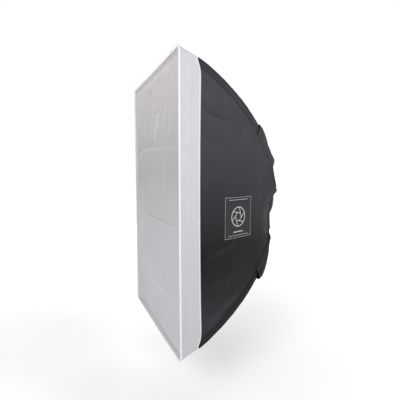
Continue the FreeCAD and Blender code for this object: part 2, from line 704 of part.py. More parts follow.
for i, e in enumerate(knob.Shape.Edges):
    if e.Curve.TypeId == "Part::GeomCircle" and abs(e.CenterOfMass.z - S("knob_thk")) < 1e-6 and e.Length > 3 and abs(e.Curve.Radius - S("knob_rad")) < 0.01:
        edges.append("Edge%d" % (i + 1))
if edges:
    fl = knob.newObject("PartDesign::Chamfer", "knob_edge")
    fl.Base = (hp, edges)
    fl.Size = 0.9
    doc.recompute()
    if "Invalid" in fl.State or fl.Shape.isNull():
        knob.removeObject(fl)
        doc.removeObject(fl.Name)
        knob.Tip = hp
        doc.recompute()
knob.Placement = Placement(lock_p + e_lock * S("knob_at"), look(e_lock))
node(knob, "lock_knob")

# ------------------------------------------------------------------ back of the shell
qb = S("shell_back")
xr, zr = rib_xz(qb)
yr = ridge_y(qb) - DEPTH
# stitched hems on the four back edges
hems = []
for k, sx in enumerate((1, -1)):
    hems.append(cyl("hem_v%d" % k, 1.8, 2 * (zr - 8), Vector(sx * (xr - 2.1), yr + 1.9, -zr + 8), Vector(0, 0, 1)))
for k, sz in enumerate((1, -1)):
    hems.append(cyl("hem_h%d" % k, 1.8, 2 * (xr - 8), Vector(-xr + 8, yr + 1.9, sz * (zr - 2.1)), Vector(1, 0, 0)))
node(group("back_hems", hems), "back_hems")

# gussets that carry the panels on to the speed ring, with open corners for the rods
def gusset(pts):
    w = Part.makePolygon([Vector(x, yr + 0.2, z) for x, z in pts + [pts[0]]])
    return Part.Face(w).extrude(Vector(0, 1.2, 0))


gx, gz = xr - 4.4, zr - 4.4
gus = []
for sgn in (1, -1):
    gus.append(gusset([(sgn * gx, -gz + 32), (sgn * gx, gz - 32), (sgn * 78.5, 44), (sgn * 78.5, -44)]))
    gus.append(gusset([(-gx + 26, sgn * gz), (gx - 26, sgn * gz), (44, sgn * 78.5), (-44, sgn * 78.5)]))
node(feature("gussets", Part.makeCompound(gus)), "back_gussets")

# corner flaps: each side panel folds over its ridge and sticks to the top or bottom panel
def slant(sx, sz, near, far):
    """Prism between two planes parallel to a rib plane, near and far from the ridge."""
    (xa, za), (xb, zb) = rib_xz(20.0), rib_xz(320.0)
    return prism_xz([(sx * (xa - near), sz * za), (sx * (xb - near), sz * zb), (sx * (xb - far), sz * zb), (sx * (xa - far), sz * za)])


F0, F1, FW = S("flap_lo"), S("flap_hi"), S("flap_wide")
loop_list = []
for cname, sx, sz in CORNERS:
    sheet_s = panel_strip("z", sz, F0, F1, 2.0, 3.2, 300, slant(sx, sz, 7.0, FW))
    node(feature("flap_" + cname, sheet_s), "corner_flap_" + cname)
    hook = panel_strip("z", sz, F0 + 6, F1 - 6, 1.15, 1.95, 300, slant(sx, sz, FW - 24, FW - 3))
    node(feature("flap_hook_" + cname, hook), "flap_hook_tape_" + cname)
    loop_list.append(panel_strip("z", sz, F0 + 6, F1 - 6, 0.1, 0.8, 300, slant(sx, sz, FW - 26, FW - 1)))
node(feature("flap_loops", Part.makeCompound(loop_list)), "flap_loop_tapes")
for cname, sx, sz in CORNERS:
    (x0, z0), (x1, z1) = rib_xz(F0), rib_xz(F1)
    a, b = ridge_y(F0) - DEPTH, ridge_y(F1) - DEPTH
    print("flap hinge", cname, [round(v / 1000, 5) for v in (sx * (x1 - 3.5), b + 1.5, sz * (z1 + 2.5))], [round(v / 1000, 5) for v in (sx * (x0 - 3.5), a + 1.5, sz * (z0 + 2.5))])

# square label sewn on the right panel
lq0, lq1 = 269.0, 366.0
lab = panel_strip("x", 1, lq0, lq1, 0.1, 0.6, 66, None)
lab.translate(Vector(0, 0, -43))
node(feature("label", lab), "side_label")

# ------------------------------------------------------------------ check and write
doc.recompute()
bad = []
for o in doc.Objects:
    if "Invalid" in o.State or "Error" in o.State:
        bad.append("%s (%s): %s" % (o.Name, o.Label, o.State))
for o in NODES:
    if o.Shape.isNull() or not o.Shape.isValid() or not o.Shape.Solids:
        bad.append("%s has no good shape" % o.Label)
if bad:
    raise RuntimeError("; ".join(bad))
os.makedirs("parts", exist_ok=True)
for f in os.listdir("parts"):
    if f.endswith(".step"):
        os.remove(os.path.join("parts", f))
for o in NODES:
    shape = o.Shape
    solids = shape.Solids
    out = solids[0] if len(solids) == 1 else Part.makeCompound(solids)
    out.exportStep(os.path.join("parts", o.Label + ".step"))
    bb = out.BoundBox
    print("%-28s solids %2d  volume %10.1f  x %.1f..%.1f y %.1f..%.1f z %.1f..%.1f" % (o.Label, len(solids), out.Volume, bb.XMin, bb.XMax, bb.YMin, bb.YMax, bb.ZMin, bb.ZMax))
print("nodes", len(NODES))
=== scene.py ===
import math

import bpy
import numpy as np
from mathutils import Matrix, Vector


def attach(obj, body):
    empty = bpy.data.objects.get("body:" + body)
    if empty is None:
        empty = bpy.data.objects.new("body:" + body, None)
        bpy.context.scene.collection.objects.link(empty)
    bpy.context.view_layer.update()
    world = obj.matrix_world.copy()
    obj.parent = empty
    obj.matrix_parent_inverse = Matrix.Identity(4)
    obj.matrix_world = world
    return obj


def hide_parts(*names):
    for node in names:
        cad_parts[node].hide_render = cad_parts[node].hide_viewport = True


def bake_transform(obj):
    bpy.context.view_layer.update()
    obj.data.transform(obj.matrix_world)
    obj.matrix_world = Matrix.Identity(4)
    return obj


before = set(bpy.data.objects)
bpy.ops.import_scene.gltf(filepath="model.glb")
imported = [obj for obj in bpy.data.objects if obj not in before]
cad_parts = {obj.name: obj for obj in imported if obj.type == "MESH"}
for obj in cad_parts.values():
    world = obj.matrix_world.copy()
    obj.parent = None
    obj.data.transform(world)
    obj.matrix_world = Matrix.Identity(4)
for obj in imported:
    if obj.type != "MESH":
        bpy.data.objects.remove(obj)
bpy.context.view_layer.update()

# Rectangular softbox: woven shell over four bowed rods, white lip, cloth front.
# Row frame: origin at the bayonet seat, +Y towards the lamp, +Z up, the face towards -Y.

# ------------------------------------------------------------------ sizes shared with the CAD, in metres
DEPTH = 0.453  # lip plane to bayonet seat
HUB = 0.055
DW, DH = 0.2965 - HUB, 0.4465 - HUB
LEN = math.hypot(DW, DH)
UX, UZ = DW / LEN, DH / LEN
ARC_R, ARC_Y, ARC_Q = 1.0213, -0.4205, -0.4711
SHELL_BACK_Q = 0.108
LIP_R, RIDGE_R = 0.018, 0.004

RIGHT, C_UR, TOP, C_UL, LEFT, C_LL, BOTTOM, C_LR = range(8)


def fade(x, a, b):
    t = np.clip((x - a) / (b - a), 0, 1)
    return t * t * (3 - 2 * t)


def bump1(x, c, w):
    return np.exp(-(((x - c) / w) ** 2))


# ------------------------------------------------------------------ noise and folds
_grids = {}


def noise(x, y, seed):
    """Smooth value noise, about -1 to 1, one cell per unit."""
    if seed not in _grids:
        _grids[seed] = np.random.RandomState(seed).rand(64, 64) * 2 - 1
    g = _grids[seed]
    x, y = np.asarray(x, float), np.asarray(y, float)
    xi, yi = np.floor(x).astype(int), np.floor(y).astype(int)
    fx, fy = x - xi, y - yi
    sx = fx * fx * fx * (fx * (fx * 6 - 15) + 10)
    sy = fy * fy * fy * (fy * (fy * 6 - 15) + 10)
    a, b = g[xi % 64, yi % 64], g[(xi + 1) % 64, yi % 64]
    c, d = g[xi % 64, (yi + 1) % 64], g[(xi + 1) % 64, (yi + 1) % 64]
    return (a * (1 - sx) + b * sx) * (1 - sy) + (c * (1 - sx) + d * sx) * sy


def along(x, y, pts):
    """Distance to a polyline, signed by side, and how far along it the nearest point lies (0 to 1)."""
    best = np.full(np.shape(x), 1e9)
    sign = np.ones(np.shape(x))
    where = np.zeros(np.shape(x))
    seg = [math.hypot(pts[i + 1][0] - pts[i][0], pts[i + 1][1] - pts[i][1]) for i in range(len(pts) - 1)]
    total, done = sum(seg), 0.0
    for i in range(len(pts) - 1):
        (x0, y0), (x1, y1) = pts[i], pts[i + 1]
        dx, dy = x1 - x0, y1 - y0
        t = np.clip(((x - x0) * dx + (y - y0) * dy) / (dx * dx + dy * dy), 0, 1)
        ex, ey = x - (x0 + dx * t), y - (y0 + dy * t)
        d = np.hypot(ex, ey)
        near = d < best
        best = np.where(near, d, best)
        sign = np.where(near, np.sign(dx * ey - dy * ex), sign)
        where = np.where(near, (done + seg[i] * t) / total, where)
        done += seg[i]
    return best, sign, where


def fold(x, y, pts, width, height, lean=0.0):
    """A soft fold along a polyline: rounded crest, tapered to its ends, steeper on one side if lean isn't 0."""
    d, s, w = along(x, y, pts)
    k = width * (1 + lean * s)
    return height * np.exp(-((d / k) ** 2)) * (np.sin(np.pi * np.clip(w, 0, 1)) ** 0.6 * 0.85 + 0.15)


# ------------------------------------------------------------------ the shell's surface
def half_sizes(y):
    q = ARC_Q + np.sqrt(ARC_R**2 - (y - ARC_Y) ** 2)
    return HUB + UX * q, HUB + UZ * q


def slopes(y):
    dq = -(y - ARC_Y) / np.sqrt(ARC_R**2 - (y - ARC_Y) ** 2)
    return UX * dq, UZ * dq


def corner_r(y):
    return RIDGE_R + (LIP_R - RIDGE_R) * (1 - fade(y, -0.005, 0.085))


def y_of_q(q):
    return ARC_Y + np.sqrt(ARC_R**2 - (q - ARC_Q) ** 2)


# how far each side is drawn in between the rods: at the lip, at the middle of the depth, at the back
DRAWN = {RIGHT: (0.0022, 0.0090, 0.004), LEFT: (0.0120, 0.0095, 0.004), TOP: (0.0040, 0.0080, 0.003), BOTTOM: (0.0040, 0.0080, 0.003)}


def drawn_in(side, y, t):
    lip, mid, back = DRAWN[side]
    s = np.clip(y / 0.42, 0, 1)
    amp = lip * (1 - s) ** 2 + 4 * mid * s * (1 - s) * 0.9 + back * s**2
    u = 2 * t - 1
    return amp * (1 - np.abs(u) ** 2.1) - ridge_lift(y) * np.abs(u) ** 8


def ridge_lift(y):
    """The rods push the ridges out a little beyond the plain arc."""
    return 0.0026 * np.sin(np.pi * np.clip((y - 0.03) / 0.36, 0, 1)) ** 0.8


def back_pull(side, y, x, z):
    """Where the back edge is drawn out of line: up over the lock knob, and in below it. Shift in x and y."""
    w = fade(y, 0.350, 0.420) * (side == RIGHT)
    up = np.clip(1 - (z - 0.046) / 0.084, 0, 1) * (z >= 0.046) + np.clip(1 - (0.046 - z) / 0.050, 0, 1) * (z < 0.046)
    up = up - 0.10 * np.exp(-(((z - 0.046) / 0.006) ** 2))
    low = fade(z, -0.146, -0.115) * (1 - fade(z, -0.055, -0.005))
    # the slack lower corner sinks in with it
    sunk = fade(y, 0.345, 0.420) * np.exp(-((x - 0.1103) ** 2 + (z + 0.1528) ** 2) / (2 * 0.024**2))
    return w * (-0.0060 * up - 0.0045 * low) - 0.0022 * sunk, w * (0.0270 * up - 0.0060 * low) - 0.0055 * sunk


def shell_folds(side, y, p):
    """Soft unevenness of the coated nylon between the rods. p is metres from the side's middle."""
    n = noise(y * 7 + 3.1 * side, p * 5 + 7.7, 11 + side) * 0.0016
    n += noise(y * 16 + 1.7, p * 9 + side * 2.3, 21 + side) * 0.0007
    half = 0.40 if side in (RIGHT, LEFT) else 0.26
    # long tension folds that fan out from the rod tips
    for sgn in (1, -1):
        for k, (slope, h) in enumerate(((0.55, 0.0011), (0.95, 0.0014), (1.5, 0.0009))):
            y0, p0 = 0.06, sgn * half
            length = 0.21 + 0.03 * k
            y1 = y0 + length * math.cos(math.atan(slope))
            p1 = p0 - sgn * length * math.sin(math.atan(slope))
            n += fold(y, p, [(y0, p0), ((y0 + y1) / 2, (p0 + p1) / 2 + sgn * 0.012), (y1, p1)], 0.016 + 0.005 * k, h, 0.3)
    if side == RIGHT:
        n += fold(y, p, [(0.070, 0.302), (0.113, 0.279), (0.151, 0.268), (0.225, 0.267)], 0.0095, -0.0044, 0.3)
        n += fold(y, p, [(0.080, 0.209), (0.120, 0.198), (0.160, 0.189), (0.205, 0.175)], 0.0095, -0.0036, 0.3)
        n += fold(y, p, [(0.150, 0.232), (0.205, 0.222), (0.260, 0.225)], 0.0140, 0.0014, -0.3)
        n += fold(y, p, [(0.070, 0.106), (0.105, 0.096), (0.145, 0.094)], 0.0090, -0.0026, 0.3)
        n += fold(y, p, [(0.070, -0.146), (0.113, -0.138), (0.165, -0.125), (0.200, -0.122)], 0.0115, 0.0048, -0.3)
        n += fold(y, p, [(0.078, -0.336), (0.145, -0.308), (0.205, -0.284)], 0.0105, 0.0048, -0.35)
        n += fold(y, p, [(0.095, -0.362), (0.162, -0.336), (0.230, -0.314)], 0.0090, -0.0020, 0.3)
        n += fold(y, p, [(0.08, -0.255), (0.13, -0.235), (0.21, -0.22)], 0.0180, 0.0012, 0.3)
        n += fold(y, p, [(0.30, -0.13), (0.34, -0.19), (0.35, -0.25)], 0.0160, 0.0014, -0.3)
        n += fold(y, p, [(0.18, 0.33), (0.25, 0.25), (0.33, 0.17)], 0.0180, 0.0014, 0.3)
    if side == LEFT:
        n += fold(y, p, [(0.08, 0.30), (0.14, 0.24), (0.21, 0.21)], 0.017, 0.0018, 0.3)
        n += fold(y, p, [(0.08, -0.22), (0.15, -0.19), (0.23, -0.21)], 0.017, 0.0018, -0.3)
    n = n * (1.75 if side == RIGHT else 1.5)
    # puckers where the shell is gathered into the band's seam
    ripple = noise(p * 55 + 4.0 * side, y * 6, 31 + side)
    n += ripple * 0.0009 * np.exp(-np.clip(y - 0.066, 0, 1) / 0.022) * fade(y, 0.05, 0.066)
    return n * fade(y, 0.060, 0.084)


def band_folds(side, y, p):
    """Unevenness of the white lip band, 0 at the piping and at the seam."""
    v = np.clip(y / 0.066, 0, 1)
    n = noise(p * 11 + 5.0 * side, v * 2.2, 41 + side) * 0.0011
    n += noise(p * 3.3 + 9, v * 3.1 + side, 45 + side) * 0.0012
    n += 0.0007 * np.sin(2 * np.pi * (v * 2.3 + 0.25 * noise(p * 4, v, 47 + side)))
    n += noise(p * 48 + side, v * 1.4, 51 + side) * 0.0008 * np.exp(-v / 0.28)
    n += noise(p * 60 + side * 3, v * 1.4, 55 + side) * 0.0005 * np.exp(-(1 - v) / 0.2)
    if side == RIGHT:
        for z0, k in ((0.215, 0.5), (0.182, 0.7), (0.155, 0.9), (0.128, 1.0), (0.100, 0.6), (-0.070, 1.1), (-0.098, 0.8), (-0.128, 0.9), (-0.155, 0.6), (0.27, 0.5), (-0.30, 0.6)):
            n += fold(y, p, [(0.003, z0), (0.014, z0 - 0.005), (0.028, z0 - 0.004)], 0.0048, 0.0034 * k, 0.3)
        # the front cloth's lower crease runs on over the band
        n += fold(y, p, [(0.002, -0.052), (0.030, -0.053), (0.060, -0.053)], 0.0050, 0.0026, -0.3)
    return n * np.sin(np.pi * np.clip(v, 0.0, 1.0)) ** 0.6


def shallow(w):
    """Inward folds of the band, kept shallower than the tape behind it."""
    return np.where(w < 0, -0.001 * (1 - np.exp(np.minimum(w, 0) / 0.001)), w)


def skin(y, side, t, h=0.0, what="shell"):
    """Point and outward normal on the box's outer surface.
    y metres behind the lip, side a side or corner, t 0 to 1 along it, h outward offset."""
    y, side, t = np.broadcast_arrays(np.asarray(y, float), np.asarray(side), np.asarray(t, float))
    a, b = half_sizes(y)
    da, db = slopes(y)
    r = corner_r(y)
    x = np.zeros(y.shape)
    z = np.zeros(y.shape)
    nx = np.zeros(y.shape)
    nz = np.zeros(y.shape)
    off = np.zeros(y.shape)
    for k in range(8):
        m = side == k
        if not m.any():
            continue
        A, B, R, T = a[m], b[m], r[m], t[m]
        if k % 2 == 0:
            span = (B - R) if k in (RIGHT, LEFT) else (A - R)
            p = (2 * T - 1) * span
            if k == RIGHT:
                x[m], z[m], nx[m] = A, p, 1
            elif k == TOP:
                x[m], z[m], nz[m] = -p, B, 1
            elif k == LEFT:
                x[m], z[m], nx[m] = -A, -p, -1
            else:
                x[m], z[m], nz[m] = p, -B, -1
            s = p if k in (RIGHT, BOTTOM) else -p
            w = shell_folds(k, y[m], s) if what == "shell" else shallow(band_folds(k, y[m], s)) if what == "band" else 0.0 * s
            w = w * np.clip((1 - np.abs(2 * T - 1)) * span / 0.03, 0, 1) ** 0.8
            off[m] = w - drawn_in(k, y[m], T)
        else:
            f = math.pi / 2 * ((k - 1) // 2) + T * math.pi / 2
            cx = (1 if k in (C_UR, C_LR) else -1) * (A - R)
            cz = (1 if k in (C_UR, C_UL) else -1) * (B - R)
            nx[m], nz[m] = np.cos(f), np.sin(f)
            x[m], z[m] = cx + R * nx[m], cz + R * nz[m]
            off[m] = ridge_lift(y[m])
    g = np.abs(nx) * da + np.abs(nz) * db
    ny = -g
    ln = np.sqrt(nx**2 + ny**2 + nz**2)
    N = np.stack([nx / ln, ny / ln, nz / ln], -1)
    P = np.stack([x, y - DEPTH, z], -1) + N * (off + h)[..., None]
    px, py = back_pull(side, y, x, z)
    P[..., 0] += px
    P[..., 1] += py
    # the lower near corner isn't pulled quite tight on its rod
    P[..., 2] += 0.0045 * np.exp(-((x - 0.30) ** 2 + (z + 0.45) ** 2) / (2 * 0.085**2))
    return P, N


def side_t(side, y, p):
    """t on a side for a place p metres from its middle, positive towards +Z, or towards +X on the top and bottom."""
    a, b = half_sizes(np.asarray(y, float))
    r = corner_r(np.asarray(y, float))
    span = (b if side in (RIGHT, LEFT) else a) - r
    q = p if side in (RIGHT, BOTTOM) else -p
    return 0.5 + 0.5 * q / span


def on(side, y, p, h=0.0, what="shell"):
    return skin(y, side, side_t(side, y, p), h, what)


def columns(sides, n_side, n_corner, first_half=None, last_half=None):
    """Column list of (side, t) through the named sides in order, without doubled columns."""
    out = []
    for k in sides:
        n = n_corner if k % 2 else n_side[k]
        lo, hi = 0.0, 1.0
        if first_half is not None and k == first_half:
            lo, n = 0.5, n // 2
        if last_half is not None and k == last_half:
            hi, n = 0.5, n // 2
        ts = np.linspace(lo, hi, n + 1)
        for i, v in enumerate(ts):
            if out and i == 0:
                continue
            out.append((k, v))
    return out


# ------------------------------------------------------------------ mesh helpers
def new_mesh(name, verts, faces, mats, face_mat=None, uvs=None, sharp=38):
    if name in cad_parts:
        name += "_made"
    me = bpy.data.meshes.new(name)
    me.from_pydata([tuple(map(float, v)) for v in verts], [], [tuple(map(int, f)) for f in faces])
    for m in mats:
        me.materials.append(m)
    if face_mat is not None:
        me.polygons.foreach_set("material_index", np.asarray(face_mat, np.int32))
    if uvs is not None:
        layer = me.uv_layers.new(name="UVMap")
        idx = np.zeros(len(me.loops), np.int32)
        me.loops.foreach_get("vertex_index", idx)
        layer.data.foreach_set("uv", np.asarray(uvs, np.float32)[idx].ravel())
    me.polygons.foreach_set("use_smooth", np.ones(len(me.polygons), bool))
    me.validate()
    me.set_sharp_from_angle(angle=math.radians(sharp))
    me.update()
    o = bpy.data.objects.new(name, me)
    bpy.context.scene.collection.objects.link(o)
    return o


def normals_of(P, closed=False):
    if closed:
        du = np.roll(P, -1, 1) - np.roll(P, 1, 1)
    else:
        du = np.gradient(P, axis=1)
    dv = np.gradient(P, axis=0)
    N = np.cross(du, dv)
    return N / np.maximum(np.linalg.norm(N, axis=-1, keepdims=True), 1e-12)


def flat_lengths(P, closed=False):
    """Metric UV of a grid: running length along the rows' mean and the columns' mean."""
    n, m = P.shape[:2]
    du = np.linalg.norm(np.diff(P, axis=1), axis=-1)
    u = np.concatenate([[0], np.cumsum(du.mean(0))])
    dv = np.linalg.norm(np.diff(P, axis=0), axis=-1)
    v = np.concatenate([[0], np.cumsum(dv.mean(1))])
    U, V = np.meshgrid(u[:m], v)
    return np.stack([U, V], -1)


def cloth(name, P, thick, mats, closed=False, out=None, uv=None, sharp=38):
    """Closed thin sheet from a grid of outer points; material 0 outside, 1 inside and on the rim.
    out is a direction, or a grid of them, that the outer face looks towards."""
    n, m = P.shape[:2]
    N = normals_of(P, closed)
    flip = bool((N * np.asarray(out, float)).sum() < 0)
    if flip:
        N = -N
    Q = P - N * thick
    if uv is None:
        uv = flat_lengths(P)
    V = np.concatenate([P.reshape(-1, 3), Q.reshape(-1, 3)])
    UV = np.concatenate([uv.reshape(-1, 2), uv.reshape(-1, 2)])
    base = n * m
    faces, fm = [], []
    mm = m if closed else m - 1
    second = 1 if len(mats) > 1 else 0
    for i in range(n - 1):
        for j in range(mm):
            j2 = (j + 1) % m
            a, b, c, d = i * m + j, i * m + j2, (i + 1) * m + j2, (i + 1) * m + j
            f = (a, b, c, d) if not flip else (d, c, b, a)
            faces.append(f)
            fm.append(0)
            faces.append(tuple(v + base for v in reversed(f)))
            fm.append(second)

    def rim(seq):
        for p, q in seq:
            f = (p, p + base, q + base, q)
            faces.append(f if not flip else tuple(reversed(f)))
            fm.append(second)

    rim([((n - 1) * m + (j + 1) % m, (n - 1) * m + j) for j in range(mm)][::1])
    rim([(j, (j + 1) % m) for j in range(mm)])
    if not closed:
        rim([((i + 1) * m, i * m) for i in range(n - 1)])
        rim([(i * m + m - 1, (i + 1) * m + m - 1) for i in range(n - 1)])
    o = new_mesh(name, V, faces, mats, fm, UV, sharp)
    return fix_normals(o)


def fix_normals(o):
    import bmesh

    bm = bmesh.new()
    bm.from_mesh(o.data)
    bmesh.ops.recalc_face_normals(bm, faces=bm.faces[:])
    bm.to_mesh(o.data)
    bm.free()
    o.data.update()
    return o


def frames_along(pts, closed):
    P = np.asarray(pts, float)
    if closed:
        T = np.roll(P, -1, 0) - np.roll(P, 1, 0)
    else:
        T = np.gradient(P, axis=0)
    T /= np.linalg.norm(T, axis=1, keepdims=True)
    return P, T


def tube(name, pts, normals, rx, rn, mat, closed=False, segs=10, sharp=38):
    """A round or oval bar along pts; normals give its local up. rx half width, rn half height."""
    P, T = frames_along(pts, closed)
    N = np.asarray(normals, float)
    N = N - T * (N * T).sum(1, keepdims=True)
    N /= np.linalg.norm(N, axis=1, keepdims=True)
    B = np.cross(T, N)
    f = np.linspace(0, 2 * np.pi, segs, endpoint=False)
    ring = P[:, None] + B[:, None] * (np.cos(f) * rx)[None, :, None] + N[:, None] * (np.sin(f) * rn)[None, :, None]
    n = len(P)
    L = np.concatenate([[0], np.cumsum(np.linalg.norm(np.diff(P, axis=0), axis=1))])
    uv = np.stack(np.meshgrid(f * (rx + rn) / 2, L), -1).reshape(-1, 2)
    faces = []
    for i in range(n if closed else n - 1):
        i2 = (i + 1) % n
        for j in range(segs):
            j2 = (j + 1) % segs
            faces.append((i * segs + j, i * segs + j2, i2 * segs + j2, i2 * segs + j))
    if not closed:
        faces.append(tuple(range(segs))[::-1])
        faces.append(tuple((n - 1) * segs + j for j in range(segs)))
    o = new_mesh(name, ring.reshape(-1, 3), faces, [mat], None, uv, sharp)
    return fix_normals(o)


def resample(pts, step, extra=None, closed=False):
    P = np.asarray(pts, float)
    if closed:
        P = np.concatenate([P, P[:1]])
        extra = None if extra is None else np.concatenate([extra, extra[:1]])
    L = np.concatenate([[0], np.cumsum(np.linalg.norm(np.diff(P, axis=0), axis=1))])
    n = max(2, int(round(L[-1] / step)))
    s = np.linspace(0, L[-1], n + 1)
    if closed:
        s = s[:-1]
    out = np.stack([np.interp(s, L, P[:, k]) for k in range(3)], 1)
    if extra is None:
        return out
    e = np.stack([np.interp(s, L, np.asarray(extra)[:, k]) for k in range(3)], 1)
    return out, e / np.linalg.norm(e, axis=1, keepdims=True)


def stitches(name, runs, mat, pitch=0.0042, length=0.0030, r=0.00042):
    """Rows of thread stitches. runs are (points, normals) on the cloth's surface."""
    V, F = [], []
    prof = [(-1.0, 0.15, -0.4), (-0.72, 0.85, 0.35), (0.0, 1.0, 0.75), (0.72, 0.85, 0.35), (1.0, 0.15, -0.4)]
    for pts, nrm in runs:
        P, N = resample(pts, pitch, nrm)
        T = np.gradient(P, axis=0)
        T /= np.linalg.norm(T, axis=1, keepdims=True)
        B = np.cross(T, N)
        for i in range(len(P)):
            base = len(V)
            for s, w, up in prof:
                c = P[i] + T[i] * (s * length / 2) + N[i] * (up * r)
                for k in range(4):
                    f = math.pi / 4 + k * math.pi / 2
                    V.append(c + (B[i] * math.cos(f) + N[i] * math.sin(f) * 0.8) * r * w)
            for q in range(len(prof) - 1):
                for k in range(4):
                    a = base + q * 4 + k
                    b = base + q * 4 + (k + 1) % 4
                    F.append((a, b, b + 4, a + 4))
            F.append((base + 3, base + 2, base + 1, base))
            e = base + (len(prof) - 1) * 4
            F.append((e, e + 1, e + 2, e + 3))
    o = new_mesh(name, V, F, [mat], None, None, 60)
    return fix_normals(o)


# ------------------------------------------------------------------ materials
def mat_new(name):
    m = bpy.data.materials.new(name)
    m.use_nodes = True
    nt = m.node_tree
    bsdf = next(n for n in nt.nodes if n.type == "BSDF_PRINCIPLED")
    return m, nt, bsdf


def link(nt, a, b):
    nt.links.new(a, b)


def math_node(nt, op, a, b=None, clamp=False):
    n = nt.nodes.new("ShaderNodeMath")
    n.operation = op
    n.use_clamp = clamp
    for i, v in enumerate((a, b)):
        if v is None:
            continue
        if isinstance(v, (int, float)):
            n.inputs[i].default_value = v
        else:
            link(nt, v, n.inputs[i])
    return n.outputs[0]


def noise_tex(nt, vec, scale, detail=3.0, rough=0.55):
    n = nt.nodes.new("ShaderNodeTexNoise")
    n.inputs["Scale"].default_value = scale
    n.inputs["Detail"].default_value = detail
    n.inputs["Roughness"].default_value = rough
    if vec is not None:
        link(nt, vec, n.inputs["Vector"])
    return n.outputs["Fac"]


def ramp(nt, fac, stops):
    n = nt.nodes.new("ShaderNodeValToRGB")
    el = n.color_ramp.elements
    while len(el) < len(stops):
        el.new(0.5)
    for e, (p, c) in zip(el, stops):
        e.position = p
        e.color = (*c, 1)
    link(nt, fac, n.inputs["Fac"])
    return n.outputs["Color"]


def coords(nt, kind):
    n = nt.nodes.new("ShaderNodeTexCoord")
    return n.outputs[kind]


def weave(nt, uv, pitch):
    """Plain weave height, 0 to 1, from metric UVs; pitch is the thread spacing in metres."""
    sep = nt.nodes.new("ShaderNodeSeparateXYZ")
    link(nt, uv, sep.inputs[0])
    k = math.pi / pitch
    a = math_node(nt, "SINE", math_node(nt, "MULTIPLY", sep.outputs[0], k))
    b = math_node(nt, "SINE", math_node(nt, "MULTIPLY", sep.outputs[1], k))
    prod = math_node(nt, "MULTIPLY", a, b)
    return math_node(nt, "MULTIPLY_ADD", prod, 0.5), a, b


def cloth_mat(name, dark, light, pitch=0.0006, bump=0.25, rough=0.85, sheen=0.0, sheen_tint=(1, 1, 1), spec=0.3, mottle=18.0, painted_zshade=None, trans=0.0):
    m, nt, b = mat_new(name)
    uv = coords(nt, "UV")
    obj = coords(nt, "Object")
    n1 = noise_tex(nt, obj, mottle, 4.0, 0.6)
    n2 = noise_tex(nt, obj, 3.2, 2.0, 0.5)
    mixf = math_node(nt, "ADD", math_node(nt, "MULTIPLY", n1, 0.45), math_node(nt, "MULTIPLY", n2, 0.55))
    col = ramp(nt, mixf, [(0.30, dark), (0.70, light)])
    if painted_zshade:
        # painted light and shade: the colour is multiplied by a ramp over height, lighter or darker where light and
        # shade fall
        sep = nt.nodes.new("ShaderNodeSeparateXYZ")
        link(nt, obj, sep.inputs[0])
        mr = nt.nodes.new("ShaderNodeMapRange")
        mr.inputs["From Min"].default_value = -0.45
        mr.inputs["From Max"].default_value = 0.45
        link(nt, sep.outputs[2], mr.inputs["Value"])
        painted_zshade_col = ramp(nt, mr.outputs["Result"], painted_zshade)
        mx = nt.nodes.new("ShaderNodeMix")
        mx.data_type = "RGBA"
        mx.blend_type = "MULTIPLY"
        mx.inputs["Factor"].default_value = 1.0
        link(nt, col, mx.inputs["A"])
        link(nt, painted_zshade_col, mx.inputs["B"])
        col = mx.outputs["Result"]
    link(nt, col, b.inputs["Base Color"])
    w, _, _ = weave(nt, uv, pitch)
    fuzz = noise_tex(nt, obj, 420.0, 2.0, 0.6)
    hgt = math_node(nt, "ADD", w, math_node(nt, "MULTIPLY", fuzz, 0.5))
    bp = nt.nodes.new("ShaderNodeBump")
    bp.inputs["Strength"].default_value = bump
    bp.inputs["Distance"].default_value = 0.0002
    link(nt, hgt, bp.inputs["Height"])
    link(nt, bp.outputs["Normal"], b.inputs["Normal"])
    rr = math_node(nt, "MULTIPLY_ADD", n1, 0.10)
    rr.node.inputs[2].default_value = rough - 0.05
    link(nt, rr, b.inputs["Roughness"])
    b.inputs["Specular IOR Level"].default_value = spec
    if sheen:
        b.inputs["Sheen Weight"].default_value = sheen
        b.inputs["Sheen Roughness"].default_value = 0.45
        b.inputs["Sheen Tint"].default_value = (*sheen_tint, 1)
    if trans:
        b.inputs["Transmission Weight"].default_value = 0.0
        b.inputs["Subsurface Weight"].default_value = trans
        b.inputs["Subsurface Radius"].default_value = (0.004, 0.004, 0.004)
        b.inputs["Subsurface Scale"].default_value = 1.0
    return m


def metal_mat(name, col, rough, brushed=None, spots=0.05, metallic=1.0, coat=0.0, bump=0.05, grain=60.0):
    m, nt, b = mat_new(name)
    obj = coords(nt, "Object")
    n1 = noise_tex(nt, obj, grain, 5.0, 0.6)
    dark = tuple(c * (1 - spots * 2.2) for c in col)
    lite = tuple(min(1, c * (1 + spots)) for c in col)
    link(nt, ramp(nt, n1, [(0.35, dark), (0.62, lite)]), b.inputs["Base Color"])
    b.inputs["Metallic"].default_value = metallic
    vec = obj
    if brushed:
        mp = nt.nodes.new("ShaderNodeMapping")
        mp.inputs["Scale"].default_value = brushed
        link(nt, obj, mp.inputs["Vector"])
        vec = mp.outputs["Vector"]
    n2 = noise_tex(nt, vec, 300.0 if brushed else 90.0, 3.0, 0.6)
    rr = math_node(nt, "MULTIPLY_ADD", n2, 0.18)
    rr.node.inputs[2].default_value = rough - 0.09
    link(nt, rr, b.inputs["Roughness"])
    bp = nt.nodes.new("ShaderNodeBump")
    bp.inputs["Strength"].default_value = bump
    bp.inputs["Distance"].default_value = 0.0003
    link(nt, n2, bp.inputs["Height"])
    link(nt, bp.outputs["Normal"], b.inputs["Normal"])
    if coat:
        b.inputs["Coat Weight"].default_value = coat
        b.inputs["Coat Roughness"].default_value = 0.15
    return m


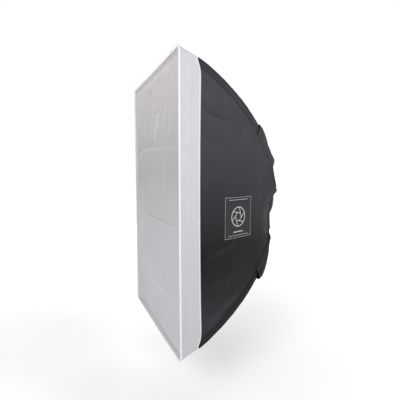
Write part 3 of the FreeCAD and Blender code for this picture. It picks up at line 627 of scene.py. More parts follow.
M = {}
# painted light: the black top and bottom panels and gussets are lighter towards the top and darker towards the bottom
M["black"] = cloth_mat("black_oxford", (0.0205, 0.0207, 0.0228), (0.0270, 0.0272, 0.0298), pitch=0.00055, bump=0.3, rough=0.45, spec=0.14,
    painted_zshade=[(0.0, (0.70, 0.70, 0.72)), (0.45, (0.85, 0.85, 0.87)), (1.0, (1.30, 1.30, 1.34))])
# painted light and shade on the side panels: lighter towards the top, a band of painted shade below the middle, lighter
# again near the bottom edge
M["black_side"] = cloth_mat("black_oxford_side", (0.0330, 0.0337, 0.0385), (0.0420, 0.0428, 0.0486), pitch=0.00055, bump=0.3, rough=0.45, spec=0.07,
    painted_zshade=[(0.0, (0.72, 0.72, 0.72)), (0.05, (0.80, 0.80, 0.80)), (0.11, (1.06, 1.06, 1.06)), (0.20, (0.59, 0.59, 0.59)), (0.29, (0.40, 0.40, 0.40)), (0.36, (0.39, 0.39, 0.39)), (0.42, (0.60, 0.60, 0.60)), (0.60, (1.12, 1.12, 1.12)), (0.72, (1.40, 1.40, 1.40)), (1.0, (1.50, 1.50, 1.50))])
# painted light: the upper corner flaps are coloured about twice as light as the lower ones
M["flap"] = cloth_mat("black_oxford_flap", (0.0150, 0.0152, 0.0170), (0.0205, 0.0207, 0.0232), pitch=0.00055, bump=0.3, rough=0.5, spec=0.18,
    painted_zshade=[(0.0, (0.45, 0.45, 0.45)), (0.45, (0.60, 0.60, 0.60)), (0.6, (2.1, 2.1, 2.1)), (1.0, (2.4, 2.4, 2.4))])
M["snap_black"] = metal_mat("black_snap_cap", (0.022, 0.022, 0.024), 0.42, metallic=0.0, spots=0.1, bump=0.04)
# painted light: the upper rod sleeves and ridge seams are coloured about twice as light as the lower ones
M["sleeve"] = cloth_mat("black_rod_sleeve", (0.0165, 0.0168, 0.0186), (0.0225, 0.0228, 0.0252), pitch=0.0007, bump=0.5, rough=0.72, spec=0.14,
    painted_zshade=[(0.0, (1.0, 1.0, 1.0)), (0.5, (0.9, 0.9, 0.9)), (0.62, (2.15, 2.15, 2.2)), (0.84, (2.2, 2.2, 2.25)), (0.94, (1.95, 1.95, 2.0)), (1.0, (2.1, 2.1, 2.15))])
M["silver"] = cloth_mat("silver_lining", (0.50, 0.50, 0.51), (0.66, 0.66, 0.67), pitch=0.0012, bump=0.5, rough=0.38, spec=0.6, mottle=30)
M["silver"].node_tree.nodes["Principled BSDF"].inputs["Metallic"].default_value = 0.75
# painted shade: the white band is a little darker towards the bottom
M["white"] = cloth_mat("white_band", (0.592, 0.597, 0.624), (0.643, 0.648, 0.674), pitch=0.00045, bump=0.2, rough=0.72, spec=0.25, sheen=0.08,
    painted_zshade=[(0.0, (0.90, 0.90, 0.90)), (0.16, (0.91, 0.91, 0.915)), (0.37, (0.948, 0.948, 0.955)), (0.60, (0.978, 0.978, 0.985)), (1.0, (0.982, 0.982, 0.985))])
M["hem"] = cloth_mat("white_binding", (0.74, 0.74, 0.76), (0.80, 0.80, 0.82), pitch=0.0008, bump=0.5, rough=0.75, spec=0.25)
M["piping"] = cloth_mat("white_piping", (0.88, 0.88, 0.885), (0.93, 0.93, 0.935), pitch=0.0009, bump=0.45, rough=0.6, spec=0.3, sheen=0.15)
# painted light and shade on the front cloth: lighter and warm at the top, a darker band above the middle, cooler and
# lighter towards the bottom
M["diffuser"] = cloth_mat("diffuser_cloth", (0.630, 0.622, 0.622), (0.676, 0.668, 0.668), pitch=0.0005, bump=0.2, rough=0.8, spec=0.2, mottle=7,
    painted_zshade=[(0.0, (0.96, 0.99, 1.045)), (0.2, (0.96, 0.985, 1.035)), (0.40, (0.90, 0.905, 0.945)), (0.62, (0.775, 0.785, 0.80)), (0.72, (0.82, 0.82, 0.835)), (1.0, (1.02, 0.973, 0.973))])
M["diffuser_in"] = cloth_mat("diffuser_back", (0.60, 0.60, 0.60), (0.66, 0.66, 0.66), pitch=0.0005, bump=0.2, rough=0.85, spec=0.2)
M["baffle"] = cloth_mat("baffle_cloth", (0.66, 0.66, 0.66), (0.72, 0.72, 0.72), pitch=0.0005, bump=0.2, rough=0.85, spec=0.2)
# painted light: the lip's inside is lighter towards the bottom, where it is in shade
M["lining"] = cloth_mat("white_lining", (0.70, 0.70, 0.72), (0.76, 0.76, 0.78), pitch=0.0005, bump=0.25, rough=0.8, spec=0.2,
    painted_zshade=[(0.0, (1.24, 1.24, 1.24)), (0.10, (1.18, 1.18, 1.18)), (0.25, (0.90, 0.90, 0.90)), (1.0, (0.86, 0.86, 0.86))])
# painted light: the hook border is lighter towards the bottom, where it is in shade
M["hook_w"] = cloth_mat("white_hook_border", (0.62, 0.62, 0.63), (0.70, 0.70, 0.71), pitch=0.0010, bump=0.6, rough=0.9, spec=0.1, mottle=200,
    painted_zshade=[(0.0, (1.14, 1.14, 1.14)), (0.10, (1.10, 1.10, 1.10)), (0.25, (1.0, 1.0, 1.0)), (1.0, (0.96, 0.96, 0.96))])
M["loop_w"] = cloth_mat("white_loop_tape", (0.55, 0.55, 0.55), (0.68, 0.68, 0.68), pitch=0.0016, bump=1.0, rough=0.95, spec=0.1, mottle=260)
M["loop_b"] = cloth_mat("black_loop_tape", (0.008, 0.008, 0.009), (0.022, 0.022, 0.024), pitch=0.0016, bump=1.0, rough=0.95, spec=0.1, mottle=260)
M["web"] = cloth_mat("black_webbing", (0.012, 0.012, 0.013), (0.024, 0.024, 0.026), pitch=0.0014, bump=0.9, rough=0.8, spec=0.3)
M["elastic"] = cloth_mat("black_elastic", (0.015, 0.015, 0.016), (0.03, 0.03, 0.032), pitch=0.0011, bump=1.0, rough=0.75, spec=0.3)
M["thread_b"] = cloth_mat("black_thread", (0.02, 0.02, 0.022), (0.045, 0.045, 0.048), pitch=0.0003, bump=0.4, rough=0.5, spec=0.5)
M["thread_w"] = cloth_mat("white_thread", (0.70, 0.70, 0.70), (0.80, 0.80, 0.80), pitch=0.0003, bump=0.4, rough=0.5, spec=0.5)
M["thread_g"] = cloth_mat("grey_thread", (0.50, 0.50, 0.50), (0.60, 0.60, 0.60), pitch=0.0003, bump=0.4, rough=0.5, spec=0.4)
M["patch"] = cloth_mat("label_cloth", (0.026, 0.027, 0.030), (0.034, 0.035, 0.039), pitch=0.0007, bump=0.5, rough=0.75, spec=0.25)
M["print"] = cloth_mat("label_print", (0.42, 0.42, 0.43), (0.55, 0.55, 0.56), pitch=0.0007, bump=0.4, rough=0.6, spec=0.3, mottle=90)
M["cast"] = metal_mat("black_powder_coat", (0.022, 0.022, 0.024), 0.42, metallic=0.0, bump=0.35, spots=0.15, grain=500.0)
M["turned"] = metal_mat("turned_aluminium", (0.62, 0.62, 0.63), 0.30, brushed=(0.15, 6.0, 0.15), bump=0.12)
M["zinc"] = metal_mat("zinc_plate", (0.56, 0.56, 0.55), 0.36, spots=0.08, bump=0.08)
M["steel"] = metal_mat("bright_steel", (0.60, 0.60, 0.60), 0.25, brushed=(1, 1, 8), bump=0.06)
M["oxide"] = metal_mat("black_oxide", (0.045, 0.045, 0.048), 0.38, metallic=0.7, bump=0.08)
M["knob"] = metal_mat("moulded_plastic", (0.016, 0.016, 0.017), 0.38, metallic=0.0, bump=0.12, spots=0.1, grain=200.0)
M["rod"] = metal_mat("fibreglass_rod", (0.013, 0.013, 0.014), 0.28, metallic=0.0, bump=0.1, spots=0.2, grain=150.0, coat=0.3)
M["cap"] = metal_mat("rod_tip_plastic", (0.02, 0.02, 0.02), 0.35, metallic=0.0, bump=0.08, spots=0.1, grain=200.0)

# carried-over CAD pieces
for node_name, key in {
    "bayonet_plate": "zinc",
    "rotation_ring": "turned",
    "adapter_screws": "oxide",
    "speed_ring": "cast",
    "socket_ring": "cast",
    "rod_socket_tubes": "zinc",
    "ring_screws": "oxide",
    "lock_screw": "steel",
    "lock_knob": "knob",
    "rod_upper_right": "rod",
    "rod_upper_left": "rod",
    "rod_lower_left": "rod",
    "rod_lower_right": "rod",
    "rod_end_ferrules": "steel",
    "rod_tip_caps": "cap",
}.items():
    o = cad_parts[node_name]
    o.data.materials.clear()
    o.data.materials.append(M[key])


def settle(o, body, slot, *nodes):
    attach(o, body)
    if nodes:
        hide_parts(*nodes)
    return o


NS = {RIGHT: 150, LEFT: 120, TOP: 80, BOTTOM: 80}
NC = 12


# ------------------------------------------------------------------ band, binding and piping
def hem_y(cols):
    """Where the band ends, metres behind the lip: it runs forward close to the corners."""
    a, b = half_sizes(0.068)
    out = []
    for k, t in cols:
        if k % 2:
            d = 0.0
        else:
            span = b if k in (RIGHT, LEFT) else a
            d = (1 - abs(2 * t - 1)) * span
        out.append(0.0690 - 0.0125 * math.exp(-((d / 0.016) ** 1.3)))
    return np.array(out)


ring_cols = columns([RIGHT, C_UR, TOP, C_UL, LEFT, C_LL, BOTTOM, C_LR], NS, NC)[:-1]
K = np.array([c[0] for c in ring_cols])
T = np.array([c[1] for c in ring_cols])
HY = hem_y(ring_cols)

rows = np.linspace(0, 1, 25)
band_cols = columns([RIGHT, C_UR, TOP, C_UL, LEFT, C_LL, BOTTOM, C_LR], {RIGHT: 300, LEFT: 260, TOP: 170, BOTTOM: 170}, 16)[:-1]
KB, TB = np.array([c[0] for c in band_cols]), np.array([c[1] for c in band_cols])
Yb = 0.0025 + (hem_y(band_cols)[None, :] - 0.0025) * rows[:, None]
P, N = skin(Yb, np.broadcast_to(KB, Yb.shape), np.broadcast_to(TB, Yb.shape), 0.0012, "band")
band = cloth("front_band", P, 0.0009, [M["white"], M["hem"]], closed=True, out=N)
settle(band, "softbox", "white_band", "front_band")
band_in, band_n = P[:17] - N[:17] * 0.0015, N[:17]

# inside of the lip, from the piping back past the diffuser
lining = cloth("lip_lining", band_in, 0.0006, [M["lining"], M["lining"]], closed=True, out=band_n)
settle(lining, "softbox", "white_band")

# binding at the back of the band
w = np.linspace(0, 1, 9)
Yh = (HY[None, :] - 0.0045) + 0.0052 * w[:, None]
prof = 0.0013 + 0.0011 * (1 - np.abs(2 * w - 1) ** 4)
P, N = skin(Yh, np.broadcast_to(K, Yh.shape), np.broadcast_to(T, Yh.shape), np.broadcast_to(prof[:, None], Yh.shape), "band")
binding = cloth("band_binding", P, 0.0010, [M["hem"], M["hem"]], closed=True, out=N)
settle(binding, "softbox", "white_binding", "band_binding")
runs = []
P, N = skin(HY - 0.0030, K, T, 0.0024, "band")
runs.append((np.concatenate([P, P[:1]]), np.concatenate([N, N[:1]])))
settle(stitches("binding_stitches", runs, M["thread_w"]), "softbox", "white_binding")

# corded edge round the lip
fine_cols = columns([RIGHT, C_UR, TOP, C_UL, LEFT, C_LL, BOTTOM, C_LR], {RIGHT: 150, LEFT: 150, TOP: 100, BOTTOM: 100}, 22)[:-1]
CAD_, FT = np.array([c[0] for c in fine_cols]), np.array([c[1] for c in fine_cols])
P, N = skin(0.0 * FT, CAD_, FT, -0.0003, "plain")
s = np.arange(len(P))
P = P + N * (0.00018 * noise(s * 0.12, 0.3, 61))[:, None]
piping = tube("edge_piping", P, N, 0.0028, 0.0026, M["piping"], closed=True, segs=16)
settle(piping, "softbox", "white_piping", "edge_piping")
runs = []
P, N = skin(0.0052 + 0 * FT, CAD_, FT, 0.0013, "band")
runs.append((np.concatenate([P, P[:1]]), np.concatenate([N, N[:1]])))
settle(stitches("piping_stitches", runs, M["thread_w"]), "softbox", "white_piping")

# ------------------------------------------------------------------ black shell
phi_back = math.asin((SHELL_BACK_Q - ARC_Q) / ARC_R)


def shell_panel(name, side, first, last, nodes):
    cols = columns([first, side, last], NS, NC, first_half=first, last_half=last)
    k = np.array([c[0] for c in cols])
    t = np.array([c[1] for c in cols])
    y0 = hem_y(cols) - 0.012
    phi0 = np.arccos((y0 - ARC_Y) / ARC_R)
    s = np.linspace(0, 1, 110)
    phi = phi0[None, :] + (phi_back - phi0[None, :]) * s[:, None]
    y = ARC_Y + ARC_R * np.cos(phi)
    under = -0.0014 * (1 - fade(y - hem_y(cols)[None, :], -0.006, 0.0008))
    P, N = skin(y, np.broadcast_to(k, y.shape), np.broadcast_to(t, y.shape), under)
    o = cloth(name, P, 0.0008, [M["black_side"] if side in (RIGHT, LEFT) else M["black"], M["silver"]], out=N)
    area = float((np.linalg.norm(np.cross(P[1:, 1:] - P[:-1, :-1], P[1:, :-1] - P[:-1, 1:]), axis=-1) / 2).sum())
    settle(o, "softbox", "black_oxford", *nodes)
    return o, area, P


PANELS = [
    ("shell_right", RIGHT, C_LR, C_UR, "shell_panel_right"),
    ("shell_top", TOP, C_UR, C_UL, "shell_panel_top"),
    ("shell_left", LEFT, C_UL, C_LL, "shell_panel_left"),
    ("shell_bottom", BOTTOM, C_LL, C_LR, "shell_panel_bottom"),
]
panel_objs = {}
for name, side, first, last, node_name in PANELS:
    o, area, P = shell_panel(name, side, first, last, [node_name])
    panel_objs[side] = o
    width = 0.56 if side in (RIGHT, LEFT) else 0.60

# bound seams on the four ridges
ridge_runs = []
CORNER = {C_UR: ("upper_right", 1, 1), C_UL: ("upper_left", -1, 1), C_LL: ("lower_left", -1, -1), C_LR: ("lower_right", 1, -1)}
for c, (cname, sx, sz) in CORNER.items():
    phi = np.linspace(math.acos((0.0600 - ARC_Y) / ARC_R), phi_back, 120)
    y = ARC_Y + ARC_R * np.cos(phi)
    P, N = skin(y, np.full(y.shape, c), np.full(y.shape, 0.5), 0.0009)
    wob = noise(np.arange(len(y)) * 0.21, 2.2, 71 + c) * 0.0004
    o = tube("ridge_seam_" + cname, P + N * wob[:, None], N, 0.0026, 0.0019, M["sleeve"], segs=12)
    settle(o, "softbox", "black_oxford")
    for d in (0.07, 0.93):
        side = {C_UR: (RIGHT, TOP), C_UL: (TOP, LEFT), C_LL: (LEFT, BOTTOM), C_LR: (BOTTOM, RIGHT)}[c][0 if d < 0.5 else 1]
        P, N = skin(y, np.full(y.shape, side), np.full(y.shape, 1 - 0.008 if d < 0.5 else 0.008), 0.0003)
        ridge_runs.append((P, N))
settle(stitches("ridge_stitches", ridge_runs, M["thread_b"]), "softbox", "black_oxford")


def near_corner(side, c, y, d, h):
    """Point and normal on a side, d metres from the corner c."""
    a, b = half_sizes(y)
    r = corner_r(y)
    span = (b if side in (RIGHT, LEFT) else a) - r
    sx, sz = CORNER[c][1], CORNER[c][2]
    p = (span - d) * (sz if side in (RIGHT, LEFT) else sx)
    return on(side, y, p, h)


# sleeves sewn along the long sides, that the rods run under
sleeve_runs = []
for c, (cname, sx, sz) in CORNER.items():
    side = RIGHT if sx > 0 else LEFT
    ys = ARC_Y + ARC_R * np.cos(np.linspace(math.acos((0.0640 - ARC_Y) / ARC_R), math.acos((0.405 - ARC_Y) / ARC_R), 96))
    d = np.linspace(-0.0015, 0.0195, 12)
    Yg, Dg = np.meshgrid(ys, d)
    u = (Dg + 0.0015) / 0.0210
    H = 0.0009 + 0.0017 * np.sin(np.pi * np.clip(u * 0.93, 0, 1)) ** 0.7 + 0.0003 * noise(Yg * 60, u * 1.5, 141 + c)
    P, N = near_corner(side, c, Yg, Dg, H)
    settle(cloth("rod_sleeve_" + cname, P, 0.0008, [M["sleeve"], M["sleeve"]], out=N), "softbox", "black_oxford")
    P, N = near_corner(side, c, ys, 0.0178 + 0 * ys, 0.0014)
    sleeve_runs.append((P, N))
settle(stitches("sleeve_stitches", sleeve_runs, M["thread_b"]), "softbox", "black_oxford")

# ------------------------------------------------------------------ inside the lip
Yt = 0.0125 + 0.0235 * np.linspace(0, 1, 6)[:, None] + 0 * HY[None, :]
P, N = skin(Yt, np.broadcast_to(K, Yt.shape), np.broadcast_to(T, Yt.shape), -0.00105, "plain")
settle(cloth("lip_loop_tape", P, 0.0007, [M["loop_w"], M["loop_w"]], closed=True, out=N), "softbox", "white_tape", "lip_loop_tape")


def front_creases(x, z):
    """How far the front cloth stands out of its plane, in metres, positive outward."""
    n = noise(x * 3.4 + 4.2, z * 3.0 + 1.3, 81) * 0.0030
    n += noise(x * 9 + 2.2, z * 5 + 6.3, 82) * 0.0009
    for pts, wd, h, lean in FRONT_FOLDS:
        n += fold(x, z, pts, wd, h * 1.7, lean)
    # the long crease: loose cloth above it hangs over, and it is tight below
    d, sg, wh = along(x, z, LONG_CREASE)
    up = np.where(sg > 0, 1.0, 0.0)
    n += (0.0078 * np.exp(-d / 0.045) * up + 0.0078 * np.exp(-((d / 0.009) ** 2)) * (1 - up)) * (0.35 + 0.65 * np.sin(np.pi * wh) ** 0.5)
    # pulled tight at the hooked edge
    ex, ez = 0.2905 - np.abs(x), 0.4388 - np.abs(z)
    edge = np.minimum(ex, ez)
    s = np.where(ex < ez, z, x)
    n += noise(s * 24 + np.where(x > 0, 3.0, 9.0), edge * 8, 83) * 0.0013 * np.exp(-edge / 0.030)
    n = n * fade(edge, 0.004, 0.030)
    return n - 0.0030 * np.exp(-((edge / 0.0065) ** 2))


LONG_CREASE = [(-0.275, 0.152), (-0.245, 0.172), (-0.205, 0.184), (-0.165, 0.190), (-0.091, 0.194), (0.009, 0.193), (0.096, 0.188), (0.182, 0.184), (0.267, 0.180)]
FRONT_FOLDS = [
    # fan of soft folds that drop from the middle of the top to the long crease
    ([(0.050, 0.300), (0.030, 0.268), (0.022, 0.222), (0.020, 0.200)], 0.0075, 0.0026, 0.3),
    ([(0.060, 0.290), (0.044, 0.263), (0.014, 0.212)], 0.0080, 0.0022, -0.3),
    ([(-0.048, 0.300), (-0.040, 0.283), (-0.015, 0.205)], 0.0070, 0.0020, 0.3),
    ([(-0.030, 0.352), (-0.015, 0.318), (-0.012, 0.290)], 0.0070, 0.0024, 0.3),
    ([(0.010, 0.280), (0.040, 0.290), (0.080, 0.303)], 0.0055, 0.0030, 0.35),
    ([(-0.080, 0.300), (-0.065, 0.255), (-0.060, 0.205)], 0.0110, 0.0022, 0.3),
    ([(-0.170, 0.330), (-0.135, 0.268), (-0.120, 0.205)], 0.0130, 0.0022, -0.3),
    ([(0.130, 0.330), (0.118, 0.270), (0.110, 0.215)], 0.0100, 0.0018, 0.3),
    ([(0.185, 0.300), (0.180, 0.250), (0.165, 0.210)], 0.0100, 0.0016, -0.3),
    ([(-0.215, 0.255), (-0.190, 0.215), (-0.180, 0.175)], 0.0100, 0.0016, 0.3),
    # dents under the top edge
    ([(-0.005, 0.430), (0.030, 0.424), (0.070, 0.416)], 0.0120, -0.0040, 0.0),
    ([(-0.120, 0.424), (-0.065, 0.410), (-0.020, 0.392)], 0.0150, -0.0044, 0.0),
    ([(0.130, 0.425), (0.160, 0.405), (0.190, 0.400)], 0.0120, -0.0024, 0.0),
    # below the crease
    ([(-0.190, -0.052), (-0.120, -0.057), (-0.060, -0.060), (0.037, -0.062), (0.144, -0.061), (0.264, -0.056)], 0.0060, 0.0019, 0.2),
    ([(-0.225, 0.100), (-0.200, 0.030), (-0.205, -0.040)], 0.0110, 0.0020, 0.3),
    ([(-0.120, 0.130), (-0.090, 0.060), (-0.100, -0.010)], 0.0160, 0.0020, -0.2),
    ([(0.080, 0.140), (0.100, 0.070), (0.090, 0.000)], 0.0160, 0.0016, 0.2),
    ([(-0.070, -0.286), (0.080, -0.283), (0.240, -0.275)], 0.0090, 0.0022, 0.3),
    ([(-0.020, -0.170), (0.110, -0.225), (0.230, -0.290)], 0.0120, 0.0018, -0.3),
    ([(-0.200, -0.150), (-0.090, -0.165), (0.040, -0.155)], 0.0110, 0.0014, 0.3),
    ([(-0.170, -0.380), (-0.060, -0.370), (0.060, -0.385)], 0.0100, 0.0016, -0.3),
    ([(0.085, -0.432), (0.105, -0.405), (0.112, -0.370)], 0.0060, 0.0022, 0.2),
]


def front_sheet(name, y0, inset, nu, nv, height):
    """Grid over the lip's inside outline at depth y0, drawn with height(x, z)."""
    u = np.linspace(-1, 1, nu + 1)
    v = np.linspace(-1, 1, nv + 1)
    U, V = np.meshgrid(u, v)
    s = np.maximum(np.abs(U), np.abs(V))
    s_ = np.maximum(s, 1e-9)
    # where the ray leaves the square, as a side and a place along it
    side = np.where(np.abs(U) >= np.abs(V), np.where(U > 0, RIGHT, LEFT), np.where(V > 0, TOP, BOTTOM))
    w = np.where(np.abs(U) >= np.abs(V), V, U) / s_
    w = np.where((side == LEFT) | (side == TOP), -w, w)  # runs the same way as the columns
    cols = {}
    for k, (a, b) in {RIGHT: (C_LR, C_UR), TOP: (C_UR, C_UL), LEFT: (C_UL, C_LL), BOTTOM: (C_LL, C_LR)}.items():
        c = columns([a, k, b], {k: 200}, 40, first_half=a, last_half=b)
        kk = np.array([q[0] for q in c])
        tt = np.array([q[1] for q in c])
        P, N = skin(np.full(kk.shape, y0), kk, tt, -inset, "plain")
        L = np.concatenate([[0], np.cumsum(np.linalg.norm(np.diff(P, axis=0), axis=1))])
        cols[k] = (L / L[-1] * 2 - 1, P)
    X = np.zeros(U.shape)
    Z = np.zeros(U.shape)
    for k, (L, P) in cols.items():
        m = side == k
        X[m] = np.interp(w[m], L, P[:, 0]) * s[m]
        Z[m] = np.interp(w[m], L, P[:, 2]) * s[m]
    X[s < 1e-9] = 0
    Z[s < 1e-9] = 0
    Y = y0 - DEPTH - height(X, Z)
    P = np.stack([X, Y, Z], -1)
    return P, np.stack([X, Z], -1)


FRONT_Y = 0.0044
P, uv = front_sheet("front_diffuser", FRONT_Y, 0.0024, 210, 300, front_creases)
front = cloth("front_diffuser", P, 0.0007, [M["diffuser"], M["diffuser_in"]], out=(0, -1, 0), uv=uv)
area = float((np.linalg.norm(np.cross(P[1:, 1:] - P[:-1, :-1], P[1:, :-1] - P[:-1, 1:]), axis=-1) / 2).sum())
settle(front, "front_cloth", "diffuser_cloth", "front_diffuser")

Yk = FRONT_Y + 0.0004 + 0.0302 * np.linspace(0, 1, 7)[:, None] + 0 * HY[None, :]
P, N = skin(Yk, np.broadcast_to(K, Yk.shape), np.broadcast_to(T, Yk.shape), -0.0024, "plain")
ruck = noise(np.arange(len(HY))[None, :] * 0.5, Yk * 60, 85) * 0.0003
P = P - N * np.abs(ruck)[..., None]
hook = cloth("diffuser_hook_border", P, 0.0009, [M["hook_w"], M["hook_w"]], closed=True, out=N)
settle(hook, "front_cloth", "white_tape", "diffuser_hook_border")
runs = []
for dy in (0.0125, 0.0325):
    P, N = skin(dy + 0 * HY, K, T, -0.0034, "plain")
    runs.append((np.concatenate([P, P[:1]]), -np.concatenate([N, N[:1]])))
settle(stitches("hook_border_stitches", runs, M["thread_w"], pitch=0.005, length=0.0034), "front_cloth", "white_tape")
# hem of the front cloth, sewn down 9 mm inside its edge
P, N = skin(np.full(len(T), FRONT_Y), K, T, -0.0024 - 0.0090, "plain")
P[:, 1] = FRONT_Y - DEPTH - front_creases(P[:, 0], P[:, 2]) - 0.0005
P = np.concatenate([P, P[:1]])
settle(stitches("diffuser_hem_stitches", [(P, np.tile(np.array([0, -1.0, 0]), (len(P), 1)))], M["thread_g"], pitch=0.0042, length=0.0028), "front_cloth", "diffuser_cloth")

# ------------------------------------------------------------------ inner baffle
BY = 0.170
BW, BH = 0.205, 0.322
TAB_Z, TAB_X = (-0.2, 0.0, 0.2), (-0.11, 0.11)


def baffle_relief(x, z):
    n = noise(x * 5 + 1.2, z * 4 + 3.3, 91) * 0.0035 + noise(x * 13, z * 9, 92) * 0.0010
    for sx in (1, -1):
        for z0 in TAB_Z:
            n += fold(x, z, [(sx * BW, z0), (sx * 0.11, z0 * 0.92), (sx * 0.03, z0 * 0.8)], 0.010, 0.0030, 0.3)
    for sz in (1, -1):
        for x0 in TAB_X:
            n += fold(x, z, [(x0, sz * BH), (x0 * 0.9, sz * 0.23), (x0 * 0.7, sz * 0.12)], 0.010, 0.0030, -0.3)
    edge = np.minimum(BW - np.abs(x), BH - np.abs(z))
    return n * fade(edge, 0.006, 0.045)


def scallop(x, z):
    """The baffle's edge is drawn in between its tabs."""
    pz = np.abs(((np.abs(z) + 0.1) % 0.2) - 0.1) / 0.1
    px = np.clip(np.abs(np.abs(x) - 0.11) / 0.10, 0, 1)
    return 0.004 * pz * (2 - pz), 0.004 * px * (2 - px)


u, v = np.linspace(-1, 1, 91), np.linspace(-1, 1, 131)
U, V = np.meshgrid(u, v)
sx_, sz_ = scallop(U * BW, V * BH)
X = U * (BW - sx_ * np.abs(U) ** 3)
Z = V * (BH - sz_ * np.abs(V) ** 3)
P = np.stack([X, BY - DEPTH - baffle_relief(X, Z) * 0.8, Z], -1)
baffle = cloth("inner_baffle", P, 0.0007, [M["baffle"], M["baffle"]], out=(0, -1, 0), uv=np.stack([X, Z], -1))
settle(baffle, "softbox", "baffle_cloth", "inner_baffle")

tape_parts = []


def strip(name, a, b, width, across, nrm, thick, mat, n=40, wave=0.0):
    """A straight tape from a to b; across gives its width direction and nrm its face."""
    a, b, across, nrm = (np.array(q, float) for q in (a, b, across, nrm))
    s = np.linspace(0, 1, n + 1)[:, None, None]
    w = np.linspace(-0.5, 0.5, 7)[None, :, None]
    P = a + (b - a) * s + across * width * w
    crown = (1 - np.abs(2 * w) ** 6) * thick * 0.25
    P = P + nrm * (crown + wave * noise(s * 6, w * 1.5, 95))
    return cloth(name, P, thick, [mat, mat], out=nrm)


def joined(name, objs):
    """One object from several, in a fixed order."""
    import bmesh as bm_

    bm = bm_.new()
    mats = []
    for o in objs:
        for m in o.data.materials:
            if m not in mats:
                mats.append(m)
    for o in objs:
        remap = [mats.index(m) for m in o.data.materials]
        n0 = len(bm.faces)
        bm.from_mesh(o.data)
        bm.faces.ensure_lookup_table()
        for f in bm.faces[n0:]:
            f.material_index = remap[f.material_index]
    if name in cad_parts:
        name += "_made"
    me = bpy.data.meshes.new(name)
    bm.to_mesh(me)
    bm.free()
    for m in mats:
        me.materials.append(m)
    for o in objs:
        old = o.data
        bpy.data.objects.remove(o)
        bpy.data.meshes.remove(old)
    r = bpy.data.objects.new(name, me)
    bpy.context.scene.collection.objects.link(r)
    r.name = name
    return r


yb = BY - DEPTH - 0.0012
bt = []
for k, sz in enumerate((1, -1)):
    bt.append(strip("bt_h%d" % k, (-BW + 0.002, yb, sz * (BH - 0.0125)), (BW - 0.002, yb, sz * (BH - 0.0125)), 0.018, (0, 0, 1), (0, -1, 0), 0.0009, M["loop_w"], n=60, wave=0.0004))
for k, sx in enumerate((1, -1)):
    bt.append(strip("bt_v%d" % k, (sx * (BW - 0.0125), yb, -BH + 0.023), (sx * (BW - 0.0125), yb, BH - 0.023), 0.018, (1, 0, 0), (0, -1, 0), 0.0009, M["loop_w"], n=80, wave=0.0004))
settle(joined("baffle_border_tape", bt), "softbox", "white_tape", "baffle_border_tape")
runs = []
for inset in (0.0055, 0.0195):
    for sz in (1, -1):
        q = np.array([(-BW + 0.004, yb - 0.0012, sz * (BH - inset)), (BW - 0.004, yb - 0.0012, sz * (BH - inset))])
        runs.append((q, np.array([(0, -1.0, 0)] * 2)))
    for sx in (1, -1):
        q = np.array([(sx * (BW - inset), yb - 0.0012, -BH + 0.024), (sx * (BW - inset), yb - 0.0012, BH - 0.024)])
        runs.append((q, np.array([(0, -1.0, 0)] * 2)))
settle(stitches("baffle_stitches", runs, M["thread_w"], pitch=0.005, length=0.0034), "softbox", "white_tape")

tabs, snaps = [], []


def dome(name, centre, axis, r, mat):
    """A snap button: flanged base, rolled rim and a low crown, turned about its axis."""
    prof = [(0.0, 0.0), (r, 0.0), (r, 0.0007), (r * 0.95, 0.0011), (r * 0.80, 0.0013), (r * 0.74, 0.0020), (r * 0.55, 0.0027), (r * 0.28, 0.0031), (0.0, 0.0032)]
    ax = Vector(axis).normalized()
    e1 = ax.orthogonal().normalized()
    e2 = ax.cross(e1)
    n = 28
    V = [Vector(centre) + ax * prof[0][1]]
    for rr, hh in prof[1:-1]:
        for j in range(n):
            f = 2 * math.pi * j / n
            V.append(Vector(centre) + ax * hh + (e1 * math.cos(f) + e2 * math.sin(f)) * rr)
    V.append(Vector(centre) + ax * prof[-1][1])
    F = [(0, 1 + (j + 1) % n, 1 + j) for j in range(n)]
    rings = len(prof) - 2
    for i in range(rings - 1):
        for j in range(n):
            a0, a1 = 1 + i * n + j, 1 + i * n + (j + 1) % n
            F.append((a0, a1, a1 + n, a0 + n))
    last = len(V) - 1
    F += [(last, 1 + (rings - 1) * n + j, 1 + (rings - 1) * n + (j + 1) % n) for j in range(n)]
    return fix_normals(new_mesh(name, V, F, [mat], None, None, 40))


for k, (sx, z0) in enumerate([(s_, z_) for s_ in (1, -1) for z_ in TAB_Z]):
    wall, wn = on(RIGHT if sx > 0 else LEFT, BY, z0, -0.0010)
    x0, x1 = sx * (BW - 0.016), wall[0] - sx * 0.0052
    tabs.append(strip("tab_a%d" % k, (x0, BY - DEPTH + 0.0016, z0), (x1, BY - DEPTH + 0.0016, z0), 0.019, (0, 0, 1), (0, 1, 0), 0.0011, M["elastic"], n=14))
    snaps.append(dome("snap_a%d" % k, wall - wn * 0.0012, -wn, 0.0058, M["steel"]))
for k, (sz, x0) in enumerate([(s_, x_) for s_ in (1, -1) for x_ in TAB_X]):
    wall, wn = on(TOP if sz > 0 else BOTTOM, BY, x0, -0.0010)
    z0, z1 = sz * (BH - 0.016), wall[2] - sz * 0.0052
    tabs.append(strip("tab_b%d" % k, (x0, BY - DEPTH + 0.0016, z0), (x0, BY - DEPTH + 0.0016, z1), 0.019, (1, 0, 0), (0, 1, 0), 0.0011, M["elastic"], n=14))
    snaps.append(dome("snap_b%d" % k, wall - wn * 0.0012, -wn, 0.0058, M["steel"]))
settle(joined("baffle_elastic_tabs", tabs), "softbox", "elastic", "baffle_elastic_tabs")
settle(joined("baffle_snap_buttons", snaps), "softbox", "snap_metal", "baffle_snap_buttons")

# ------------------------------------------------------------------ rods' corner sleeves
ROD_R, ROD_INSET, TIP_Y, TIP_Q, ROOT_Y = 0.6855, 0.009, 0.016, 0.435, 0.4275


